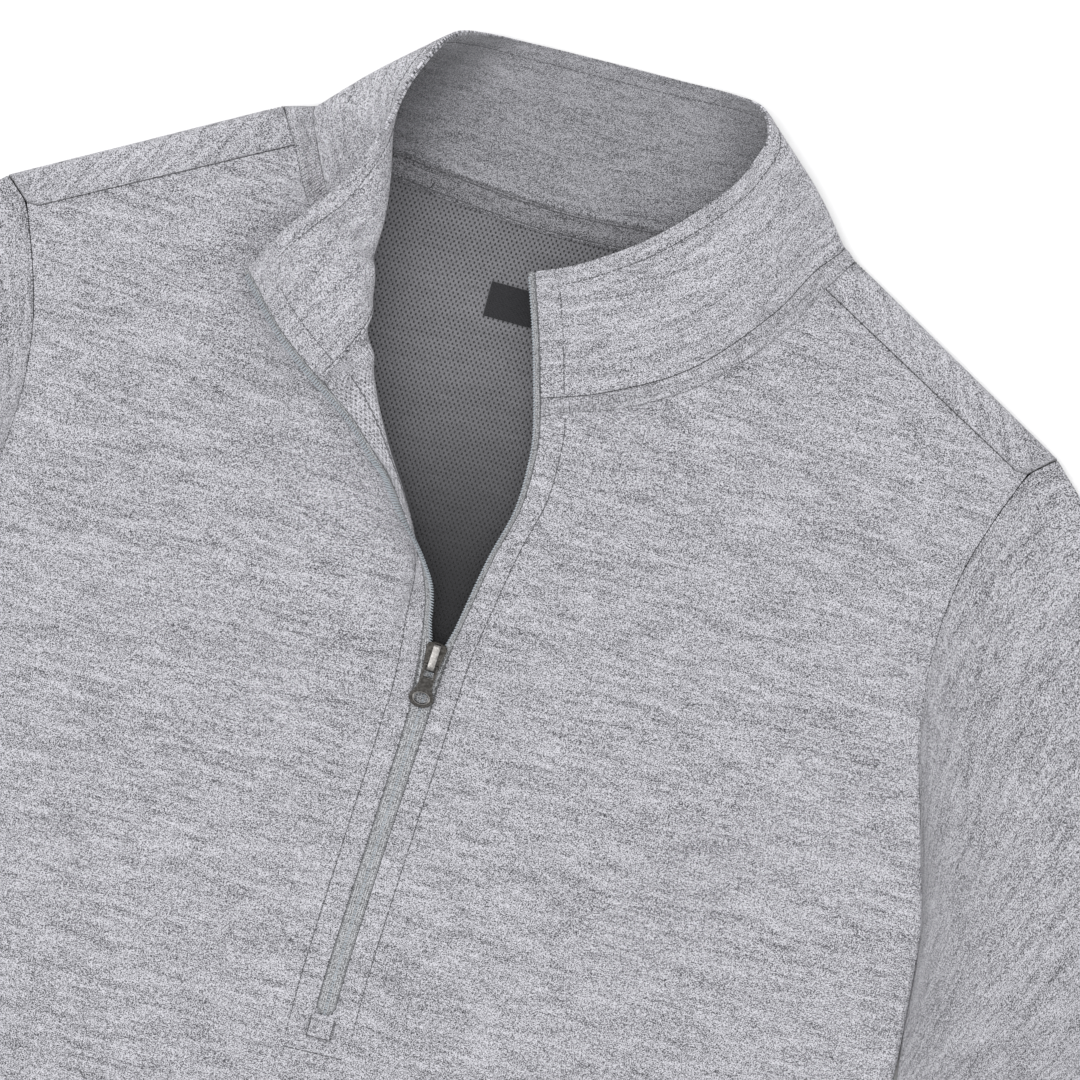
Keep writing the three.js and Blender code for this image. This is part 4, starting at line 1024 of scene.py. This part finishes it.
def coil(name, grid, sign, beyond, wall):
    edge, inner = (grid[:, 0], grid[:, 1]) if sign > 0 else (grid[:, -1], grid[:, -2])
    normal = gridNormals(grid)[:, 0 if sign > 0 else -1]
    out = unit(edge - inner)
    run = runAlong(edge)
    at = np.arange(1.0, run[-1] - 1, zipSizes["pitch"])
    edge, normal, out = (placedAt(values, run, at) for values in (edge, normal, out))
    normal, out, along = unit(normal), unit(out), unit(np.gradient(edge, axis=0))
    low = -(wall / 2 + 0.3)
    legs = [(-1.6, low, -0.12), (-0.6, low, -0.1), (beyond * 0.6, low + 0.02, -0.06), (beyond, low / 2, 0),
            (beyond * 0.6, 0.2, 0.06), (-0.5, 0.42, 0.14)]
    line = np.stack([edge + out * a + normal * b + along * c * 2 for a, b, c in legs], 1)
    verts, faces = tube(line, normal[:, None], 0.32, 6)
    return addMesh(name, verts, faces, np.zeros((len(verts), 2)), [looks["coil"]])


for key, sign, surface, n, nextN, beyond in (
    ("left", -1, frontLeft, 4, 3.95, 1.1), ("right", 1, frontRight, 0, 0.05, 0.3),
):
    grid, uv, pinch = tapeGrid(key, sign, surface, n, nextN)
    across = uv[..., 0] / zipSizes["clothWidth"]
    # Painted shade: a dark line on the tape along the cloth's edge and along the closed foot.
    edgeShade = 0.75 * (1 - smooth(0.04, 0.2, across) * smooth(0, 1.6, uv[..., 1]))
    piece = shell(f"zip_tape_{key}_cloth", grid, uv, body["tapeWall"], [looks["tape"]], pinch=pinch,
                  edgeRound=0.25, shade=edgeShade)
    takesPlaceOf(f"zip_tape_{key}")
    coilPiece = coil(f"zip_coil_{key}", grid, sign, beyond, body["tapeWall"])
print("zip")

# Patch at the foot of the zip.
endPatch = {"width": 11.0, "height": 10.3, "below": 8.95}


def endPatchGrid():
    zipFoot = body["zipFootY"]
    centre = (through(slit, "y", "left", zipFoot) + through(slit, "y", "right", zipFoot)) / 2
    x, y = np.meshgrid(centre + endPatch["width"] * np.linspace(-0.5, 0.5, 13),
                       zipFoot - endPatch["below"] + endPatch["height"] * np.linspace(-0.5, 0.5, 13))
    z = through(slit, "y", "z", y) + 1.6
    return points(x, y, z), np.stack([x, y], -1)


grid, uv = endPatchGrid()
patchPiece = shell("zip_end_patch_cloth", grid, uv, body["tapeWall"], [looks["knit"]])
takesPlaceOf("zip_end_patch")


# Slider and pull tab: flat curves with a depth and a rounded edge, turned into meshes.
slider = {
    "x": -2.7, "y": -148.5, "z": 11.2, "pitch": 0.05, "lean": -0.043,
    "length": 13.0, "wide": 9.2, "narrow": 7.0, "plate": 1.6,
}
bridge = {"length": 12.0, "width": 3.2, "height": 4.3, "bar": 1.1}
tab = {"length": 19.0, "neck": 5.6, "foot": 11.0, "thick": 1.4, "pin": 1.1, "pinY": -3.8, "pinHeight": 1.6,
       "droop": 0.17, "eyeFromEnd": 4.3, "eyeWide": 3.2, "eyeHigh": 2.3, "slotGap": 0.45}
zipPlace = (Matrix.Translation((slider["x"], slider["y"], slider["z"]))
            @ Matrix.Rotation(slider["pitch"], 4, "X") @ Matrix.Rotation(slider["lean"], 4, "Z"))


def rounded(anchors, steps=6):  # straight lines, and quadratic bends where a row has four numbers
    line = []
    for anchor in anchors:
        if len(anchor) == 2:
            line.append(anchor)
            continue
        (x0, y0), (cx, cy, x1, y1) = line[-1], anchor
        for k in range(1, steps + 1):
            s = k / steps
            line.append(((1 - s) ** 2 * x0 + 2 * s * (1 - s) * cx + s * s * x1,
                         (1 - s) ** 2 * y0 + 2 * s * (1 - s) * cy + s * s * y1))
    return line


def plateOf(name, outlines, depth, bevel, place):
    curve = bpy.data.curves.new(name, "CURVE")
    curve.dimensions = "2D"
    curve.fill_mode = "BOTH"
    curve.extrude = depth / 2 - bevel
    curve.bevel_depth = bevel
    curve.bevel_resolution = 3
    curve.offset = -bevel
    for outline in outlines:
        spline = curve.splines.new("POLY")
        spline.points.add(len(outline) - 1)
        for k, (x, y) in enumerate(outline):
            spline.points[k].co = (x, y, 0, 1)
        spline.use_cyclic_u = True
    made = bpy.data.objects.new(name, curve)
    bpy.context.scene.collection.objects.link(made)
    bpy.ops.object.select_all(action="DESELECT")
    made.select_set(True)
    bpy.context.view_layer.objects.active = made
    bpy.ops.object.convert(target="MESH")
    made = bpy.context.view_layer.objects.active
    made.data.transform(place)
    return made


def settle(parts, name, node, bodyName, partLooks):  # joins parts and moves them into the frame
    bpy.ops.object.select_all(action="DESELECT")
    for part, look in zip(parts, partLooks):
        part.data.materials.clear()
        part.data.materials.append(looks[look])
        part.select_set(True)
    bpy.context.view_layer.objects.active = parts[0]
    if len(parts) > 1:
        bpy.ops.object.join()
    made = bpy.context.view_layer.objects.active
    made.name = name
    made.data.name = name
    made.data.transform(Matrix.Scale(0.001, 4) @ Matrix.Translation((0, shiftY, 0)) @ zipPlace)
    bpy.ops.object.shade_smooth_by_angle(angle=math.radians(35))
    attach(made, bodyName)
    takesPlaceOf(node)


def sliderPiece():
    length, wide, narrow = slider["length"], slider["wide"], slider["narrow"]
    outline = rounded([
        (-narrow / 2, -length / 2 + 1), (-narrow / 2, -length / 2, -narrow / 2 + 1.4, -length / 2),
        (narrow / 2 - 1.4, -length / 2), (narrow / 2, -length / 2, narrow / 2, -length / 2 + 1),
        (wide / 2, length / 2 - 2.4), (wide / 2, length / 2, 0, length / 2),
        (-wide / 2, length / 2, -wide / 2, length / 2 - 2.4),
    ])
    middle = Matrix.Translation((0, 0, slider["plate"] / 2))
    plate = plateOf("plate", [outline], slider["plate"], 0.35, middle)
    lower = plateOf("lower", [outline], 1.2, 0.3, Matrix.Translation((0, 0, -3.3)))
    long, height, bar = bridge["length"], bridge["height"], bridge["bar"]
    arch = rounded([
        (-long / 2, -0.4), (-long / 2, height * 0.55), (-long / 2, height, -long / 2 + 2, height),
        (long / 2 - 2, height), (long / 2, height, long / 2, height * 0.55), (long / 2, -0.4),
        (long / 2 - bar, -0.4), (long / 2 - bar, height - bar), (-long / 2 + bar, height - bar),
        (-long / 2 + bar, -0.4),
    ])
    upright = Matrix(((0, 0, 1, 0), (1, 0, 0, 0), (0, 1, 0, slider["plate"]), (0, 0, 0, 1)))
    raised = plateOf("raised", [arch], bridge["width"], 0.25, upright)
    bpy.ops.mesh.primitive_cube_add(size=1, location=(0, 3.1, -1.6))
    wedge = bpy.context.object
    wedge.data.transform(wedge.matrix_world @ Matrix.Diagonal((2, 2, 4, 1)))
    wedge.matrix_world = Matrix.Identity(4)
    # The bridge takes the painted highlight copy of the metal; the plates and wedge take the painted shade
    # copy.
    settle([plate, lower, raised, wedge], "slider_body", "slider", "sweater",
           ["metalPaintedShade", "metalPaintedShade", "metalPaintedHighlight", "metalPaintedShade"])


def tabPiece():
    length, neck, foot, pin = tab["length"], tab["neck"], tab["foot"], tab["pin"]
    inner = bridge["width"] / 2 + tab["slotGap"]
    outline = rounded([
        (-neck / 2 - 0.6, pin / 2), (-neck / 2 - 0.6, -5), (-neck / 2 + 0.2, -9, -foot / 2 + 1.0, -12.3),
        (-foot / 2 - 0.6, -14.5, -foot / 2 + 0.3, -length + 3), (-foot / 2 + 1.8, -length, 0, -length),
        (foot / 2 - 1.8, -length, foot / 2 - 0.3, -length + 3),
        (foot / 2 + 0.6, -14.5, foot / 2 - 1.0, -12.3),
        (neck / 2 - 0.2, -9, neck / 2 + 0.6, -5), (neck / 2 + 0.6, pin / 2),
    ])
    slot = [(-inner, -pin / 2), (inner, -pin / 2), (inner, -5.2), (-inner, -5.2)]
    eye = -length + tab["eyeFromEnd"]
    ring = [(tab["eyeWide"] * math.cos(a), eye + tab["eyeHigh"] * math.sin(a))
            for a in np.linspace(0, 2 * math.pi, 33)[:-1]]
    hang = (Matrix.Translation((0, tab["pinY"], slider["plate"] + tab["pinHeight"]))
            @ Matrix.Rotation(tab["droop"], 4, "X"))
    plate = plateOf("tabPlate", [outline, slot, ring], tab["thick"], 0.35, hang)
    bpy.ops.mesh.primitive_torus_add(major_radius=1, minor_radius=0.12, major_segments=48, minor_segments=10)
    lip = bpy.context.object
    wide, high = tab["eyeWide"] + 0.4, tab["eyeHigh"] + 0.4
    lip.data.transform(hang @ Matrix.Translation((0, eye, 0.6)) @ Matrix.Diagonal((wide, high, 3.4, 1)))
    # The eyelet's lip takes the painted highlight copy of the metal.
    settle([plate, lip], "pull_tab_plate", "pull_tab", "pull_tab", ["metal", "metalPaintedHighlight"])


sliderPiece()
tabPiece()
print("slider")


# Stitches: short raised threads along lines on the cloth.
def framed(surface, u, v, height, sign=1):
    step = 1e-3
    du, dv = surface(u + step, v) - surface(u - step, v), surface(u, v + step) - surface(u, v - step)
    normal = unit(np.cross(du, dv)) * sign
    return surface(u, v) + normal * height, normal


def resampled(line, normals, pitch):
    run = runAlong(line)
    at = np.arange(pitch / 2, run[-1], pitch)
    along = unit(placedAt(line, run, at + 0.3) - placedAt(line, run, at - 0.3))
    return placedAt(line, run, at), along, unit(placedAt(normals, run, at))


def stitches(name, lines, pitch=2.6, length=2.1, radius=0.2):
    verts, faces, count = [], [], 0
    for line, normals in lines:
        centre, along, normal = resampled(line, normals, pitch)
        steps = np.array([-0.5, -0.3, 0.3, 0.5]) * length
        drop = np.array([-1.2, 0.0, 0.0, -1.2]) * radius
        threads = centre[:, None] + along[:, None] * steps[:, None] + normal[:, None] * drop[:, None]
        made, quads = tube(threads, normal[:, None], radius, 6)
        verts.append(made)
        faces += [[v + count for v in f] for f in quads]
        count += len(made)
    verts = np.concatenate(verts)
    addMesh(name, verts, faces, verts[:, :2], [looks["thread"]])


def frontLine(surface, key, sign, at, low, high, many=160, side=1):
    v = (np.linspace(low, high, many) - hemY) / (body["neckY"] - hemY)
    edges = rightEdges if key == "right" else leftEdges
    u = np.full(many, at / frontSizes["width"])
    for _ in range(4):
        flat = frontHalf(edges, u, v, sign)[0]
        u = u * at / np.maximum(np.abs(flat[:, 0] - edges["left"](v)[:, 0]), 0.1)
    return framed(surface, u, v, side * body["wall"] * 0.36, sign)


def collarLine(w, n, side):
    offset = side * (body["plyApart"] + body["collarWall"] * 0.36)
    return framed(collarPoint, n, w, offset)


def collarLevel(down, low, high, many):
    n = np.linspace(low, high, many)
    step = 0.05
    tall = sum(np.linalg.norm(collarPoint(n, w + step) - collarPoint(n, w), axis=-1)
               for w in np.arange(0, 1, step))
    return 1 - down / tall, n


def collarEnd(fromEnd, first, many=40):
    w = np.linspace(0.03, 0.97, many)
    edge = 0.0 if first else 4.0
    n = np.full(many, 0.1 if first else 3.9)
    for _ in range(6):
        reach = np.linalg.norm(collarPoint(n, w) - collarPoint(np.full(many, edge), w), axis=-1)
        n = edge + (n - edge) * fromEnd / reach
    return w, n


def onFront(x, y, lift):  # an open polyline on the flat front
    x, y = np.array(x, float), np.array(y, float)
    run = np.concatenate([[0], np.cumsum(np.hypot(np.diff(x), np.diff(y)))])
    at = np.arange(0, run[-1], 0.5)
    x, y = np.interp(at, run, x), np.interp(at, run, y)
    line = points(x, y, through(slit, "y", "z", y) + lift)
    return line, np.broadcast_to([0.0, 0, 1], line.shape)


footX = (through(slit, "y", "left", body["zipFootY"]) + through(slit, "y", "right", body["zipFootY"])) / 2
halfWide = endPatch["width"] / 2 - 0.4
middle = body["zipFootY"] - endPatch["below"]
top, low = middle + endPatch["height"] / 2 - 0.3, middle - endPatch["height"] / 2 + 0.4
outline = onFront(footX + np.array([-1, -1, 1, 1]) * halfWide, [top, low, low, top], 2.12)
stitches("patch_outline", [outline], pitch=1.3, length=1.5)
footLine = onFront([footX - 13.6, footX + 12.4], [low - 7.2, low - 6.4], body["wall"] * 0.62)
stitches("foot_stitches", [footLine])
tapeLines = []
n = np.linspace(neckTape["from"] + 0.02, neckTape["to"] - 0.02, 160)
for down in (0.5, neckTape["line"], neckTape["width"] - neckTape["line"], neckTape["width"] - 0.5):
    seam = collarPoint(n, 0.0)
    line = points(seam[:, 0], seam[:, 1] - neckTape["below"] - down, onBack + seamLift)
    tapeLines.append((line, np.broadcast_to([0.0, 0, 1], line.shape)))
stitches("neck_tape_stitches", tapeLines, pitch=2.0, length=1.7, radius=0.17)

stitchAt = frontSizes["stitchAt"]
placket = [
    frontLine(frontRight, "right", 1, stitchAt, -326, -38),
    frontLine(frontLeft, "left", -1, stitchAt, -326, -38),
    frontLine(frontLeft, "left", -1, stitchAt, -120, -38, 60, -1),
]
stitches("placket_stitches", placket)
w, n = collarLevel(collarSizes["topLine"], 0.12, 3.88, 400)
wFirst, nFirst = collarEnd(collarSizes["endLine"], True)
wLast, nLast = collarEnd(collarSizes["endLine"], False)
collarLines = []
for side in (1, -1):
    for ww, nn in ((w, n), (wFirst[:35], nFirst[:35]), (wLast[:35], nLast[:35])):
        line, normal = collarLine(ww, nn, side)
        collarLines.append((line, normal * side))
stitches("collar_stitches", collarLines)
# Dark threads laid end to end along the binding's two seams and the leaf's seam: seam stitches, and a painted
# shade line in the seam grooves.
n = np.linspace(3.45, 3.99, 60)
leafSeam = framed(collarPoint, n, np.full(60, 0.012), -1.02)
stitches("seam_shade_threads", [*bindingSeams, (leafSeam[0], -leafSeam[1])], pitch=2.2, length=2.4, radius=0.17)
print("stitches")

# Each cloth piece's cut, flat, in millimetres and square metres. Strips go with the piece they are sewn to.
cuts = {
    "back_cloth": (500, 720, 0.32, "laid", [], []),
    "front_cloth": (500, 680, 0.288, "laid", ["back_cloth"], [
        "neck_binding_rib", "zip_tape_left_cloth", "zip_tape_right_cloth", "zip_end_patch_cloth"]),
    "sleeve_left_cloth": (420, 660, 0.163, "laid", [], []),
    "sleeve_right_cloth": (420, 660, 0.163, "laid", [], []),
    "collar_outer": (500, 62, 0.028, "folded", ["back_cloth"], []),
    "collar_inner": (500, 62, 0.028, "folded", ["back_cloth"], []),
    "neck_tape_cloth": (160, 12, 0.0019, "laid", ["back_cloth"], []),
    "label_woven": (36, 15, 0.00054, "laid", ["back_cloth"], []),
}
for name, (across, along, area, held, under, sewnOn) in cuts.items():
    across / 1000
print("cuts")

# Camera straight above, turned so that the garment leans as in the picture.
view = {"x": 0.028, "y": -0.088 + shiftY / 1000, "height": 5.0, "across": 0.465, "lean": 15.2}
camera = bpy.data.objects.new("camera", bpy.data.cameras.new("camera"))
bpy.context.scene.collection.objects.link(camera)
camera.location = (view["x"], view["y"], view["height"])
camera.rotation_euler = (0, 0, math.radians(view["lean"]))
camera.data.angle = 2 * math.atan(view["across"] / 2 / view["height"])
camera.data.clip_end = 50
bpy.context.scene.camera = camera

# Floor and soft studio light.
light = {
    "world": 0.91, "floor": 0.97,
    "key": ((-0.9, 0.4, 2.4), (0, 0.15, 0), 2.8, 44.0),  # place, aim, size and power
    "fill": ((1.6, -1.0, 2.2), (0, 0.1, 0), 2.5, 13.0),
}
bpy.ops.mesh.primitive_plane_add(size=12, location=(0, 0, -0.0005))
floor = bpy.context.object
floor.name = "floor"
floorMaterial = bpy.data.materials.new("floor")
floorMaterial.use_nodes = True
floorSurface = floorMaterial.node_tree.nodes["Principled BSDF"]
floorSurface.inputs["Base Color"].default_value = (light["floor"],) * 3 + (1,)
floorSurface.inputs["Roughness"].default_value = 0.9
floor.data.materials.append(floorMaterial)

world = bpy.data.worlds.new("world")
world.use_nodes = True
world.node_tree.nodes["Background"].inputs["Color"].default_value = (1, 1, 1, 1)
world.node_tree.nodes["Background"].inputs["Strength"].default_value = light["world"]
bpy.context.scene.world = world


def areaLight(name, place, aim, size, power):
    lamp = bpy.data.lights.new(name, "AREA")
    lamp.shape = "DISK"
    lamp.size = size
    lamp.energy = power
    made = bpy.data.objects.new(name, lamp)
    made.location = place
    made.rotation_euler = (Vector(aim) - Vector(place)).to_track_quat("-Z", "Y").to_euler()
    bpy.context.scene.collection.objects.link(made)


for name in ("key", "fill"):
    areaLight(name, *light[name])
bpy.context.scene.view_settings.view_transform = "Standard"
